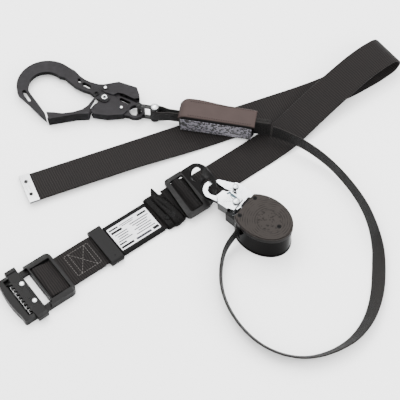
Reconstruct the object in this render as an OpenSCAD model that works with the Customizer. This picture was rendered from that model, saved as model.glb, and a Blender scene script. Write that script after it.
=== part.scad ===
// Waist belt lanyard set: belt, buckle, spring-wound lanyard reel, shock absorber and hook.
// Millimetres, +Z up. The set lies on the plane Z = 0, centred over the origin.

/* [Belt] */
// Width of the waist belt webbing
belt_w = 50; // [45:1:55]
// Thickness of the waist belt webbing
belt_t = 2.4; // [2:0.1:2.6]
// Direction in which the buckle strand runs, in degrees from +X
belt_heading = 36.7; // [36:0.1:37.5]
// Direction in which the tip strand runs, in degrees from +X
tip_heading = 22; // [21:0.5:23]

/* [Buckle] */
// Overall width of the buckle frame
buckle_w = 70; // [66:1:72]
// Length of the buckle frame along the belt
buckle_l = 82; // [80:1:84]
// Height of the buckle frame's side walls
buckle_h = 12; // [11:0.5:13]

/* [Reel] */
// Width of the reel housing
reel_w = 62.5; // [60:0.5:66]
// Length of the reel housing, from its bracket face to its round end
reel_l = 72; // [70:0.5:74]
// Overall height of the reel housing
reel_h = 44; // [44:1:48]
// Height of the lid alone
lid_h = 8; // [7:0.5:9]
// Thickness of the housing walls
wall = 2.2; // [1.8:0.1:2.6]

/* [Lanyard] */
// Width of the lanyard webbing
lanyard_w = 20; // [18:1:20]
// Thickness of the lanyard webbing
lanyard_t = 2; // [1.6:0.1:2.2]

/* [Shock absorber] */
// Length of the shock absorber pack
pack_l = 106; // [100:1:108]
// Depth of the shock absorber pack
pack_d = 33; // [30:1:34]
// Height of the shock absorber pack
pack_h = 29; // [27:1:30]

/* [Large hook] */
// Thickness of the hook's main plate
hook_t = 7; // [6:0.5:7]
// Radius of the hook's outer arc
hook_r = 43; // [42:0.5:44]
// Radius of the hook's mouth
mouth_r = 25; // [24:0.5:26]

/* [Hidden] */
$fn = 64;

gap = 0.05;          // running clearance on a radius
black = [0.09, 0.09, 0.09];
dark_steel = [0.24, 0.24, 0.26];
silver = [0.82, 0.84, 0.86];
webbing_black = [0.12, 0.11, 0.11];

// ---------- frames of the sub-assemblies ----------
buckle_at = [-192, -153];    // belt centre line at the buckle's inner edge
tip_at = [-251.5, -23.5];    // belt centre line at the tip
reel_at = [47, -72.5];       // middle of the reel's bracket face
reel_heading = -37;
hook_at = [-147, 125];       // main rivet of the large hook
hook_heading = -14;
pack_at = [-40, 93.6];       // middle of the pack's front end
pack_heading = -10.2;
tip_tilt = 7;                // the tip strand lies with its near edge raised
tip_z = 2.1;

module at_belt(a, c = 0, z = 0)
    translate([buckle_at[0], buckle_at[1], 0]) rotate([0, 0, belt_heading]) translate([a, c, z]) children();
module at_reel(x = 0, y = 0, z = 0)
    translate([reel_at[0], reel_at[1], 0]) rotate([0, 0, reel_heading]) translate([x, y, z]) children();
module at_hook(x = 0, y = 0, z = 0)
    translate([hook_at[0], hook_at[1], 0]) rotate([0, 0, hook_heading]) translate([x, y, z]) children();
module at_pack(x = 0, y = 0, z = 0)
    translate([pack_at[0], pack_at[1], 0]) rotate([0, 0, pack_heading]) translate([x, y, z]) children();

// ---------- general helpers ----------
function arc(c, r, a0, a1, n) = [for (i = [0:n]) let (a = a0 + (a1 - a0) * i / n)
    [c[0] + r * cos(a), c[1] + r * sin(a)]];
function unit(v) = v / norm(v);

module box(size, at = [0, 0, 0]) translate(at) cube(size);
module slab(z0, z1) translate([0, 0, z0]) linear_extrude(z1 - z0) children();
module post(r, z0, z1, x = 0, y = 0) translate([x, y, z0]) cylinder(r = r, h = z1 - z0);
module rounded_rect(l, w, r)
    union() {
        square([l - 2 * r, w], center = true);
        square([l, w - 2 * r], center = true);
        for (sx = [-1, 1], sy = [-1, 1]) translate([sx * (l / 2 - r), sy * (w / 2 - r)]) circle(r);
    }

// A strip of constant section swept along stations [x, y, z, heading, tilt]:
// heading turns the strip's width direction, tilt raises its near edge.
function strip_w(s) = [sin(s[3]) * cos(s[4]), -cos(s[3]) * cos(s[4]), sin(s[4])];
function strip_t(p, i) = let (a = p[max(i - 1, 0)], b = p[min(i + 1, len(p) - 1)])
    unit([b[0] - a[0], b[1] - a[1], b[2] - a[2]]);
function strip_n(p, i) = unit(cross(strip_w(p[i]), strip_t(p, i)));
function strip_ring(p, i, sec) = let (w = strip_w(p[i]), n = strip_n(p, i))
    [for (q = sec) [p[i][0], p[i][1], p[i][2]] + w * q[0] + n * q[1]];
module strip(p, sec) {
    m = len(sec);
    rings = [for (i = [0:len(p) - 1]) each strip_ring(p, i, sec)];
    sides = [for (i = [0:len(p) - 2], j = [0:m - 1])
        let (a = i * m + j, b = i * m + (j + 1) % m) each [[a, b, b + m], [a, b + m, a + m]]];
    first = [for (j = [m - 1:-1:0]) j];
    last = [for (j = [0:m - 1]) (len(p) - 1) * m + j];
    polyhedron(points = rings, faces = concat(sides, [first], [last]), convexity = 10);
}
function flat_section(w, t) = [[-w / 2, -t / 2], [w / 2, -t / 2], [w / 2, t / 2], [-w / 2, t / 2]];
function round_edge_section(w, t) = let (e = t / 2)
    [[-w / 2, -e / 2], [-w / 2 + e, -e], [w / 2 - e, -e], [w / 2, -e / 2],
     [w / 2, e / 2], [w / 2 - e, e], [-w / 2 + e, e], [-w / 2, e / 2]];

// ---------- waist belt ----------
bar_a = -28.4;                // buckle bar that the belt is looped round
bar_z = 7.2;
bar_r = 2.5;
wrap_r = bar_r + 0.4 + belt_t / 2;
function on_belt(a, z) = [buckle_at[0] + a * cos(belt_heading), buckle_at[1] + a * sin(belt_heading),
                          z, belt_heading, 0];
under_run = [for (q = [[52, 3.7], [20, 3.7], [-12, 3.6]]) on_belt(q[0], q[1])];
bar_wrap = [for (i = [0:8]) let (turn = -90 - 22.5 * i)
    on_belt(bar_a + wrap_r * cos(turn), bar_z + wrap_r * sin(turn))];
upper_run = [for (q = [[-20, 9.6], [-10, 6.7], [-2, 6.3], [10, 6.3], [50, 6.3], [60, 4.4], [70, 3.6],
                       [79, 2.6], [168, 2.6], [181, 1.6], [300, 1.4], [330, 1.6], [350, 2.9], [366, 4.8]])
    on_belt(q[0], q[1])];
loop_run = [[121, 84.5, 7.5, 42, 0], [141, 104.5, 11.5, 45, 0], [166, 128.5, 17, 43.5, 0],
            [191, 151.5, 22, 42.5, 0], [215, 173, 26, 41, 0], [235, 189, 28, 39, 0],
            [248, 199, 27.4, 38, 0], [257, 205.5, 23.5, 37, 0], [261, 208.5, 15, 37, 0],
            [257, 205.5, 6.8, 37, 0], [248, 199, 2.6, 37, 0], [233, 187.5, 1.7, 36, 0],
            [215, 175, 1.6, 34, 0], [199, 164.5, 1.6, 31, 0], [183, 155.5, 1.6, 28.5, 0],
            [168, 147.8, 1.6, 26, 0], [153, 140.7, 1.6, 24, 0], [138, 134, 1.6, 22.5, 0],
            [121, 126.9, 1.6, 22, 0]];
function on_tip_strand(s, tilt, z) = [tip_at[0] + s * cos(tip_heading), tip_at[1] + s * sin(tip_heading),
                                      z + belt_w / 2 * sin(tilt), tip_heading, tilt];
// [distance from the tip, tilt, height of the far edge]
tip_run = [for (q = [[370, 0, 1.5], [340, 0.8, 1.5], [300, 1, 1.5], [260, 1, 1.5],
                     [225, 2.5, 1.5], [190, 5, 1.5],
                     [150, 7, 1.6], [75, 7, 1.9], [4, 7, tip_z]])
    on_tip_strand(q[0], q[1], q[2])];
belt_path = concat(under_run, bar_wrap, upper_run, loop_run, tip_run);

module belt_webbing() color(webbing_black) strip(belt_path, flat_section(belt_w, belt_t));

module at_tip()
    translate([tip_at[0], tip_at[1], tip_z + belt_w / 2 * sin(tip_tilt)])
        rotate([0, 0, tip_heading]) rotate([-tip_tilt, 0, 0]) children();
plate_t = 0.8;
module belt_tip() color(silver) at_tip() difference() {
    box([14.8, belt_w + 1, belt_t + 2 * plate_t], [0, -belt_w / 2 - 0.5, -belt_t / 2 - plate_t]);
    box([14.8, belt_w + 4, belt_t + 0.1], [plate_t, -belt_w / 2 - 2, -belt_t / 2 - 0.05]);
    for (c = [-12, 12]) post(1.6, -6, 6, 6.5, c);
}
module tip_rivets() color(dark_steel) at_tip() for (c = [-12, 12]) translate([6.5, c, 0]) {
    cylinder(r = 1.6, h = belt_t + 2 * plate_t, center = true);
    post(2.6, belt_t / 2 + plate_t, belt_t / 2 + plate_t + 0.7);
}

// ---------- buckle ----------
module buckle_outline() {
    half = buckle_w / 2;
    polygon(concat(
        arc([-7, half - 7], 7, 0, 90, 8), [[-46, half], [-74, half + 0.5]],
        arc([-77, half - 2.5], 3, 90, 175, 5),
        [for (c = [half - 6:-6:-half + 6]) [-buckle_l + 5 * pow(c / half, 2) * 0.9, c]],
        arc([-77, -half + 2.5], 3, 185, 270, 5), [[-74, -half - 0.5], [-46, -half]],
        arc([-7, -half + 7], 7, 270, 360, 8)));
}
window_w = 54;
module buckle_frame() color(black) at_belt(0) difference() {
    slab(0, buckle_h) buckle_outline();
    // belt window, from the thin bar to the cross bar
    box([29.5, window_w, 30], [-34, -window_w / 2, -5]);
    // through slot and jaw gap that the free end of the belt passes
    box([31.7, window_w - 2, 30], [-68.1, -window_w / 2 + 1, -5]);
    // pocket that the slider runs in
    box([36.4, window_w + 8, 30], [-72.4, -window_w / 2 - 4, 5.5]);
    box([25.4, buckle_w + 20, 30], [-64.9, -buckle_w / 2 - 10, 5.5]);
    // hollow back of the bow
    intersection() {
        translate([-72.4, 0, 6]) rotate([90, 0, 0]) cylinder(r = 4.6, h = window_w, center = true);
        box([20, window_w, 12], [-80, -window_w / 2, 2.5]);
    }
    // belt passes beneath the cross bar
    box([20, window_w, 20], [-6, -window_w / 2, -12.2]);
    // bore of the belt bar, blind into both side walls
    translate([bar_a, 0, bar_z]) rotate([90, 0, 0]) cylinder(r = bar_r, h = window_w + 8, center = true);
}
module belt_bar() color(dark_steel) at_belt(bar_a, 0, bar_z)
    rotate([90, 0, 0]) cylinder(r = bar_r, h = window_w + 7.6, center = true);

teeth = 8;
slider_z = 5.7;
slider_t = 4.6;
module buckle_slider() color(black) at_belt(0) difference() {
    union() {
        slab(slider_z, slider_z + slider_t) union() {
            translate([-64.4 + 8.6, 0]) square([17.2, window_w + 7.4], center = true);
            translate([-64.4 + 8.4, 0]) square([15.6, 2 * 38.5], center = true);
            for (i = [0:teeth]) let (c = (i - teeth / 2) * 6)
                polygon([[-64, c - 2.2], [-67.6, c - 1.2], [-67.6, c + 1.2], [-64, c + 2.2]]);
        }
        // finger ears on both sides
        for (s = [-1, 1]) translate([-64.2 + 8.2, s * 39.2, 5.2 + 1.6])
            translate([-7.8, -2.7, -2.4]) cube([15.6, 5.4, 7.4]);
    }
    for (c = [-15.3, 15.3]) post(2, -5, 30, -53.4, c);
}
module slider_rivets() color(silver) at_belt(0) for (c = [-15.3, 15.3]) {
    post(2, slider_z - 0.6, slider_z + slider_t, -53.4, c);
    translate([-53.4, c, slider_z + slider_t]) rotate_extrude()
        polygon(concat([[0, 0]], [for (i = [0:6]) [3.6 * cos(i * 15), 1.9 * sin(i * 15)]]));
}

// ---------- keeper, label and hanging band ----------
keeper_l = 19;
keeper_h = 11;
module belt_keeper() color([0.2, 0.2, 0.21]) at_belt(68.5) difference() {
    translate([0, 0, keeper_h / 2]) rotate([0, 90, 0])
        linear_extrude(keeper_l, center = true) rounded_rect(keeper_h, 60, 3.5);
    translate([0, 0, 4.85]) cube([keeper_l + 4, belt_w + 2.4, 6.7], center = true);
    post(0.9, keeper_h - 0.8, keeper_h + 2, 0, -22);
}
sleeve_t = 0.6;
module label_sleeve() color(black) at_belt(114) difference() {
    translate([0, 0, 2.6]) cube([67, belt_w + 2.4, belt_t + 2 * sleeve_t + 0.8], center = true);
    translate([0, 0, 2.6]) cube([70, belt_w + 0.8, belt_t + 0.4], center = true);
    slab(4.6, 8) square([64, 40], center = true);
}
module label_card() color([0.93, 0.93, 0.94]) at_belt(114, 0, 4.62)
    slab(0, 0.35) rounded_rect(63.6, 39.6, 1.5);

module hanger_loop(a, tilt, l, h) {
    translate([a, 0, 0]) rotate([0, 0, tilt]) difference() {
        translate([-l / 2, -belt_w / 2 - 3, 0.1]) cube([l, belt_w + 6, h]);
        translate([-l / 2 - 1, -belt_w / 2 - 1.2, 1]) cube([l + 2, belt_w + 2.4, h - 2.1]);
    }
}
module hanger_band() color(black) at_belt(0) {
    hanger_loop(157, 3, 14, 6.5);
    // folded tails with pointed ends, lying on the loop
    translate([157, 4, 6.6]) rotate([0, 0, 14]) slab(0, 2.2)
        polygon([[-7, -30], [6, -30], [6, 20], [0, 27], [-7, 20]]);
    translate([163, 2, 8.7]) rotate([0, 0, 8]) slab(0, 2)
        polygon([[-5, -26], [5, -28], [5, 20], [0, 25], [-5, 20]]);
}
module hanger_snaps() color(dark_steel) at_belt(0) {
    post(4, 8.8, 10.2, 154, -14);
    post(4, 10.7, 12.1, 162, 10);
}

// ---------- ring set on the belt ----------
fold_w = 52;                 // width of the webbing that stands up in the plate's slot
module ring_webbing() color(webbing_black) at_belt(0) rotate([90, 0, 0])
    linear_extrude(fold_w, center = true)
        polygon([[177, 3.5], [192, 3.5], [196, 4.2], [226, 3.5], [226, 5.6], [211, 6.1], [208.3, 8.4],
                 [206.2, 11.2], [203.8, 12.6], [201.2, 12.6], [198.8, 11.2], [196.8, 8.6], [194, 6.3],
                 [177, 5.6]]);

// ---------- plate with a slot for the belt and two eyes, bent up at the eyes ----------
ring_z = 7;
ring_t = 5;
plate_a = 216;               // bend of the plate along the belt
bend_z = ring_z + ring_t / 2;
plate_tilt = 45;
plate_t2 = 4;
eye_r = 9.8;
eyes = [[16.6, -12.7], [16, 11.6]];
module corners(points, r) hull() for (p = points) translate(p) circle(r);
module d_ring_plate() color(dark_steel) {
    at_belt(0) slab(ring_z, ring_z + ring_t) difference() {
        corners([[192.6, 28.8], [186.4, -29.4], [214, -29.4], [214, 28.8]], 5.6);
        corners([[195.6, 25.8], [191.8, -26.4], [207.4, -26.4], [211.8, 25.8]], 2.4);
    }
    at_belt(plate_a, 0, bend_z) rotate([0, -plate_tilt, 0]) slab(-plate_t2 / 2, plate_t2 / 2)
        difference() {
            polygon([[-2, -34], [-2, 33.4], [5, 32.4], [14, 29.2], [22.4, 25.8], [26, 23], [28.5, 20.2],
                     [30.2, 17.3], [31.3, 14.4], [32.6, 10.5], [33.2, 6.6], [33.2, -8], [32, -14],
                     [29.5, -19.5], [26, -24], [20, -28.5], [10, -33], [4, -34]]);
            for (e = eyes) translate(e) circle(eye_r);
        }
}

// ---------- snap hook that carries the reel ----------
snap_z = 16.2;
snap_pivot = [-32.5, 24.5];
lever_pivot = [-17, 4.8];
snap_fork = 2;
nose_at = [-53.5, 6];
nose_in = 9.5;
nose_out = 16;
module snap_body() color(silver) at_reel(0) difference() {
    union() {
        // forged hook, a J in plan
        slab(snap_z + 3, snap_z + 9) difference() {
            polygon(concat([[-12, -5], [-38, -7]], arc(nose_at, nose_out, 262, 140, 16),
                           arc(nose_at, nose_in, 140, 285, 14),
                           [[-44, 0], [-42, 14], [-25, 33], [-14, 33], [-9, 28], [-9, 14]]));
        }
        // two cheek plates
        for (z = [snap_z, snap_z + 10]) slab(z, z + snap_fork)
            polygon([[-43, -4], [-38, -6.5], [-20, -6.5], [-9, -3], [-6, 14], [-6, 28], [-12, 33],
                     [-30, 33], [-38, 30], [-24, 16], [-40, 10]]);
        // neck that joins the bracket
        slab(snap_z, snap_z + 12) translate([-9, 8.2]) square([12, 12.4], center = true);
    }
    // room for the gate's tail between the cheeks
    slab(snap_z + 2.4, snap_z + 9.6)
        polygon([[-44, 4], [-26, 12], [-19, 22], [-22, 36], [-50, 36], [-50, 18], [-46, 14]]);
    post(2.5 + gap, 0, 60, snap_pivot[0], snap_pivot[1]);
    post(2.5 + gap, 0, 60, lever_pivot[0], lever_pivot[1]);
}
module snap_gate() color(silver) at_reel(0) difference() {
    union() {
        slab(snap_z + 3.2, snap_z + 8.8)
            polygon([[-61.8, 17.6], [-59.5, 22.5], [-38, 30.5], [-31, 30.3], [-28, 21], [-32, 18.6],
                     [-43, 15.8],
                     [-55, 16.4]]);
        post(6, snap_z + 3.2, snap_z + 8.8, snap_pivot[0], snap_pivot[1]);
    }
    post(2.5 + gap, 0, 60, snap_pivot[0], snap_pivot[1]);
}
module snap_lever() color(silver) at_reel(0) difference() {
    union() {
        slab(snap_z + 12.3, snap_z + 14) polygon([[-44, -2.5], [-42, 9], [-36.5, 10.5], [-33, 15.5],
            [-21, 12.5], [-12.5, 13.5], [-11.5, -7.6], [-20, -9.6], [-36, -9.6]]);
        slab(snap_z - 2, snap_z - 0.3) polygon([[-44, -2.5], [-42, 9], [-24, 11], [-12.5, 13.5],
            [-11.5, -7.6], [-20, -9.6], [-36, -9.6]]);
        slab(snap_z - 2, snap_z + 14) polygon([[-36, -11.2], [-20, -11.2], [-20, -9.6], [-36, -9.6]]);
    }
    post(2.5 + gap, 0, 60, lever_pivot[0], lever_pivot[1]);
}
module snap_rivets() color(silver) at_reel(0) {
    post(2.5, snap_z - 1, snap_z + 13, snap_pivot[0], snap_pivot[1]);
    post(4, snap_z + 12.05, snap_z + 13.6, snap_pivot[0], snap_pivot[1]);
    post(4, snap_z - 1.6, snap_z - 0.05, snap_pivot[0], snap_pivot[1]);
    post(2.5, snap_z - 3, snap_z + 15, lever_pivot[0], lever_pivot[1]);
    post(5, snap_z + 14.1, snap_z + 16, lever_pivot[0], lever_pivot[1]);
    post(5, snap_z - 4, snap_z - 2.1, lever_pivot[0], lever_pivot[1]);
}
module snap_spring() color(dark_steel) at_reel(-27.6, 15, snap_z + 6)
    rotate([0, 0, 62]) rotate([0, 90, 0]) difference() {
        cylinder(r = 2.2, h = 4.6, center = true);
        cylinder(r = 1.3, h = 8, center = true);
    }

// ---------- bracket between snap hook and reel ----------
bolt_y = [-6.5, 18];         // the two bolts through bracket and case
bolt_r = 2;
module reel_bracket() color(dark_steel) at_reel(0) difference() {
    union() {
        // fork plates over and under the snap hook's neck
        for (z = [snap_z - 3.2, snap_z + 12.1]) slab(z, z + 3)
            polygon([[-8.5, 4], [-8.5, 20], [-6, 21.5], [-0.1, 21.5], [-0.1, 2]]);
        slab(snap_z - 3.2, snap_z + 15.1) polygon([[-2.9, -20], [-2.9, 21], [-0.1, 21], [-0.1, -20]]);
        slab(snap_z - 3.2, snap_z + 12.9)
            polygon([[-19, -16.5], [-17, -18.5], [-2, -20], [-2, -15], [-17, -14.2]]);
    }
    for (y = bolt_y) translate([-1, y, snap_z + 6]) rotate([0, 90, 0])
        cylinder(r = bolt_r, h = 12, center = true);
}
module bracket_bolts() color(dark_steel) at_reel(0) for (y = bolt_y) translate([0, y, snap_z + 6]) {
    translate([-4.9, 0, 0]) rotate([0, 90, 0]) difference() {
        cylinder(r = 3.4, h = 2);
        translate([0, 0, -1]) cylinder(r = 1.6, h = 2, $fn = 6);
    }
    translate([-3, 0, 0]) rotate([0, 90, 0]) cylinder(r = 2, h = 3 + wall);
}

// ---------- reel ----------
drum_at = [42.5, 0];
widest_at = 30;
// an ellipse with its end cut off flat where the bracket is
module reel_outline(g = 0) intersection() {
    polygon([for (i = [0:95]) let (t = 360 / 96 * i)
        [widest_at + (reel_l - widest_at + g) * cos(t), (reel_w / 2 + g) * sin(t)]]);
    translate([-g, -reel_w]) square([2 * reel_l, 2 * reel_w]);
}
case_top = reel_h - lid_h;
exit_x = 8;                  // where the webbing leaves the side wall
exit_z = 22;
floor_t = 2.6;
module reel_case() color(black) at_reel(0) difference() {
    union() {
        slab(0, 3) reel_outline(0.6);
        slab(3, case_top - 0.4) reel_outline(0);
    }
    difference() {
        slab(floor_t, case_top + 1) reel_outline(-wall);
        // bosses for the lid screws
        for (p = screw_at) post(3.6, 0, case_top - 0.4, p[0], p[1]);
    }
    for (p = screw_at) post(1.5, 8, 60, p[0], p[1]);
    // webbing outlet in the side wall
    box([9.2, 12, lanyard_w + 5.2], [exit_x - 3.6, -33, exit_z - lanyard_w / 2 - 2.6]);
    for (y = bolt_y) translate([0, y, snap_z + 6]) rotate([0, 90, 0])
        cylinder(r = bolt_r, h = 12, center = true);
    post(3.5, -1, 12, drum_at[0], drum_at[1]);
}
screw_at = [[4.4, 17], [4.4, -17]];
plate_screw = [55.6, 0];
lid_skin = 2.4;
lid_rim = wall + 1.8;        // thickness of the lid's rim, skirt included
module reel_lid() color([0.3, 0.28, 0.27]) at_reel(0) difference() {
    union() {
        slab(case_top, reel_h - 1.2) reel_outline(1);
        slab(reel_h - 1.2, reel_h) reel_outline(-0.4);
        slab(case_top - 1.2, case_top) difference() {
            reel_outline(-wall - 0.15);
            for (p = screw_at) translate(p) circle(5.4);
        }
    }
    slab(case_top - 2, reel_h - lid_skin) difference() {
        reel_outline(-lid_rim);
        for (p = screw_at) translate(p) circle(3.6);
    }
    for (p = concat(screw_at, [plate_screw])) {
        post(1.7, 0, 60, p[0], p[1]);
        post(3, reel_h - 1.6, 60, p[0], p[1]);
    }
}
plate_low = 39.4;
plate_top2 = reel_h - lid_skin;
bush_r = 5.4;
module bearing_plate() color(dark_steel) at_reel(drum_at[0], drum_at[1]) difference() {
    post(18, plate_low, plate_top2);
    post(bush_r, 30, 60);
    post(1.45, 30, 60, plate_screw[0] - drum_at[0], 0);
}
module screw_head() difference() {
    post(2.8, reel_h - 1.6, reel_h - 0.4);
    translate([0, 0, reel_h - 1.3]) cylinder(r = 1.3, h = 2, $fn = 6);
}
module reel_screws() color([0.06, 0.06, 0.06]) at_reel(0) {
    for (p = screw_at) translate([p[0], p[1], 0]) {
        post(1.45, case_top - 14, reel_h - 1.6);
        screw_head();
    }
    translate([plate_screw[0], plate_screw[1], 0]) {
        post(1.45, plate_low, reel_h - 1.6);
        screw_head();
    }
}
drum_r = 9;
coil_r = 21.5;
flange_r = 24.6;
module drum() color([0.75, 0.74, 0.7]) at_reel(drum_at[0], drum_at[1]) difference() {
    union() {
        post(drum_r, 9.6, 36.6);
        post(flange_r, 9.6, 11);
        post(flange_r, 33.2, 34.5);
        post(6.5, 6, 10);
    }
    post(3.5 + gap, 0, 60);
}
module drum_shaft() color(silver) at_reel(drum_at[0], drum_at[1]) post(3.5, 0.4, plate_top2 - 0.1);
module drum_bush() color([0.7, 0.55, 0.25]) at_reel(drum_at[0], drum_at[1]) difference() {
    post(bush_r, plate_low - 1.4, plate_top2);
    post(3.5 + gap, 30, 50);
}
module drum_webbing() color(webbing_black) at_reel(drum_at[0], drum_at[1]) difference() {
    post(coil_r, exit_z - lanyard_w / 2, exit_z + lanyard_w / 2);
    post(drum_r + 0.05, 0, 60);
}
lead_path = [for (q = [[40, -22.6], [28, -22.7], [20, -22.4], [14.5, -21.9], [11.2, -22.6], [9.5, -24.4],
                       [exit_x + 1.05, -26.7]]) [q[0], q[1], exit_z, 0, 90]];
module lead_webbing() color(webbing_black) at_reel(0) strip(lead_path, flat_section(lanyard_w, 1.6));
spring_turns = 5.5;
function spiral(r, n) = [for (i = [0:n]) let (t = i / n)
    (r + 2 * spring_turns * t) * [cos(360 * spring_turns * t), sin(360 * spring_turns * t)]];
function reversed(p) = [for (i = [len(p) - 1:-1:0]) p[i]];
module power_spring() color(dark_steel) at_reel(drum_at[0], drum_at[1]) slab(floor_t + 0.4, 9)
    polygon(concat(spiral(11, 132), reversed(spiral(11.5, 132))));
ratchet_teeth = 12;
module ratchet_wheel() color(silver) at_reel(drum_at[0], drum_at[1]) difference() {
    slab(34.7, 36.6) polygon([for (i = [0:ratchet_teeth - 1], k = [0, 1])
        let (a = 360 / ratchet_teeth * i + k * 26, r = k == 0 ? 15 : 19) [r * cos(a), r * sin(a)]]);
    post(drum_r, 30, 50);
}
pawl_at = [drum_at[0] - 22, 12];
pawl_r = 1.5;
module lock_pawl() color(silver) at_reel(pawl_at[0], pawl_at[1]) difference() {
    union() {
        post(3.4, 34.9, 36.7);
        slab(34.9, 36.7)
            polygon([[-2.4, 1], [2.4, 1.4], [0.6, -8], [-0.3, -10.8], [1.4, -12.4], [-2.6, -11]]);
    }
    post(pawl_r + gap, 0, 60);
}
module pawl_pin() color(dark_steel) at_reel(pawl_at[0], pawl_at[1]) {
    post(pawl_r, 34.8, reel_h - 2.4);
    post(3, 39.4, reel_h - 2.4);
}
module pawl_spring() color(dark_steel) at_reel(pawl_at[0], pawl_at[1]) difference() {
    post(3.2, 36.9, 39.2);
    post(2.2, 30, 50);
}
module web_guide() color([0.25, 0.25, 0.26]) at_reel(exit_x + 1, -25.25, exit_z) difference() {
    cube([9, 3.3, lanyard_w + 5], center = true);
    cube([5.6, 12, lanyard_w + 0.8], center = true);
}

// ---------- lanyard webbing, standing on its edge and leaning outward ----------
// [x, y, direction of travel, lean from upright, height of the lower edge]
lanyard_route = [[38, -99.5, 233, 0, 12], [31, -108, 232, 0, 8.5], [24.5, -116.5, 238, 2, 4.5],
    [20, -126, 250, 4, 1.6], [17, -139, 262, 6, 0.3], [15.3, -156, 270, 9, 0], [16, -174, 277, 13, 0],
    [20, -193, 286, 17, 0], [27, -211.5, 295, 21, 0], [37.5, -230, 305, 24, 0], [51, -247, 316, 27, 0],
    [67.5, -261.5, 327, 29, 0], [87, -272, 339, 31, 0], [104, -277, 350, 32, 0], [122, -278.5, 2, 33, 0],
    [147, -273.5, 17, 35, 0], [168, -263.5, 30, 38, 0], [183, -252.5, 41, 42, 0], [195, -239, 52, 46, 0],
    [205.5, -222, 63, 50, 0], [213.5, -202, 72, 54, 0], [219, -180, 79, 57, 0], [222, -157, 85, 59, 0],
    [223.5, -136, 88, 60, 0], [223.8, -119, 91, 60, 0], [222.8, -104, 96, 59, 0], [220.5, -88, 101, 57, 0],
    [212, -56, 109, 53, 0], [199.5, -29, 119, 48, 0.2], [185, -6.5, 126, 43, 1.2],
    [166.5, 15.5, 134, 34, 3.6],
    [147.5, 31.5, 143, 23, 7], [130, 43, 149, 12, 9.8], [114, 52, 152, 5, 10.8], [100, 59.5, 155, 0, 10.3],
    [89, 64.5, 158, 0, 9.7]];
function edge_height(lean) = lanyard_w / 2 * cos(lean) + lanyard_t / 2 * sin(lean) + 0.2;
module lanyard_webbing() color(webbing_black)
    strip([for (q = lanyard_route) [q[0], q[1], q[4] + edge_height(q[3]), q[2], 90 - q[3]]],
          round_edge_section(lanyard_w, lanyard_t));

// ---------- shock absorber ----------
pack_z = 5;
module absorber_cover() color([0.35, 0.3, 0.3]) at_pack(0) difference() {
    translate([pack_l / 2, 0, pack_z + pack_h / 2]) rotate([0, 90, 0])
        linear_extrude(pack_l, center = true) rounded_rect(pack_h, pack_d, 3);
    translate([pack_l / 2, 0, pack_z + pack_h / 2])
        cube([pack_l - 3, pack_d - 3, pack_h - 3], center = true);
    // slots for the webbing at both ends
    box([10, 8.4, 19.6], [-5, -4.2, link_z - 9.8]);
    box([10, 8.4, 21.4], [pack_l - 5, -4.2, pack_z + 3.8]);
}
module absorber_core() color([0.55, 0.5, 0.3]) at_pack(0) for (i = [-2:2])
    translate([pack_l / 2, i * 4.6, pack_z + pack_h / 2]) cube([pack_l - 12, 4, 20], center = true);
module absorber_label() color([0.5, 0.49, 0.53]) at_pack(0)
    box([pack_l - 3, 0.6, pack_h - 7], [1.5, -pack_d / 2 - 0.62, pack_z + 3.5]);
module absorber_stub() color(webbing_black) at_pack(pack_l + 10, 0, pack_z + 14.5)
    translate([-0.4, 0, 0]) rotate([90, 0, 0]) linear_extrude(8, center = true) rounded_rect(25, 21, 2.5);
// sewn webbing loop round the link pin
link_z = 16;
strap_l = 36;
module front_strap() color(webbing_black) at_pack(0) difference() {
    union() {
        translate([-strap_l, 0, link_z]) cylinder(r = 6.8, h = 19, center = true);
        translate([-strap_l, -6.8, link_z - 9.5]) cube([16, 13.6, 19]);
        translate([-strap_l + 16, -4, link_z - 9.5]) cube([strap_l - 16 + 4, 8, 19]);
    }
    post(4.2, 0, 60, -strap_l, 0);
}
module link_pin() color(silver) at_pack(-strap_l, 0) {
    post(4, 0.9, link_z + 12.6);
    post(5.4, 0.9, 2.1);
    translate([0, 0, link_z + 12.6]) rotate_extrude()
        polygon(concat([[0, -0.1], [5.4, -0.1]], [for (i = [0:6]) [5.4 * cos(i * 15), 3 * sin(i * 15)]]));
}
link_l = 22.4;
module swivel_link() color(dark_steel) at_pack(-strap_l, 0) difference() {
    union() {
        for (z = [2.2, link_z + 9.8]) slab(z, z + 2.6) union() {
            circle(6.4);
            translate([-link_l, -2.6]) square([link_l, 5.2]);
            translate([-link_l, 0]) circle(4.4);
        }
        post(3, 3, link_z + 11.6, -link_l, 0);
    }
    post(4 + gap, 0, 60);
}

// ---------- large hook ----------
plate_z = 6.2;
plate_top = plate_z + hook_t;
small_rivet = [-3.5, 17];
lower_rivet = [27.5, -9.5];
eye_at = [47.5, -7.5];
link_eye_r = 8.8;
nose_r = 86.5;
module hook_outline() {
    polygon(concat(
        arc([-88, 6.5], hook_r, 218, 62, 40),
        [[-55, 39.5], [-46, 32.5], [-37, 28], [-28, 25.6], [-16, 24.6], [-4, 27], [6, 27.5], [12, 20],
         [20, 11.5], [38, 8], [46, 5]],
        [[52, -19.5], [30, -19.5], [12, -23], [-6, -22], [-8.8, -12], [-6.8, -3.5], [-14, 2.5],
         [-24, 7.4], [-36, 9.4],
         [-48, 13], [-58, 19], [-66, 24]],
        arc([-88.5, 3.5], mouth_r, 55, 232, 30),
        [[-88, -30.5], [-74.6, -43.6]],
        [[-68.6, -54.2], [-78, -48.8], [-100, -33.5]]));
}
module long_hole(p, q, r) {
    way = atan2(q[1] - p[1], q[0] - p[0]);
    slab(0, 60) polygon(concat(arc(p, r, way + 90, way + 270, 12), arc(q, r, way - 90, way + 90, 12)));
}
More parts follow.
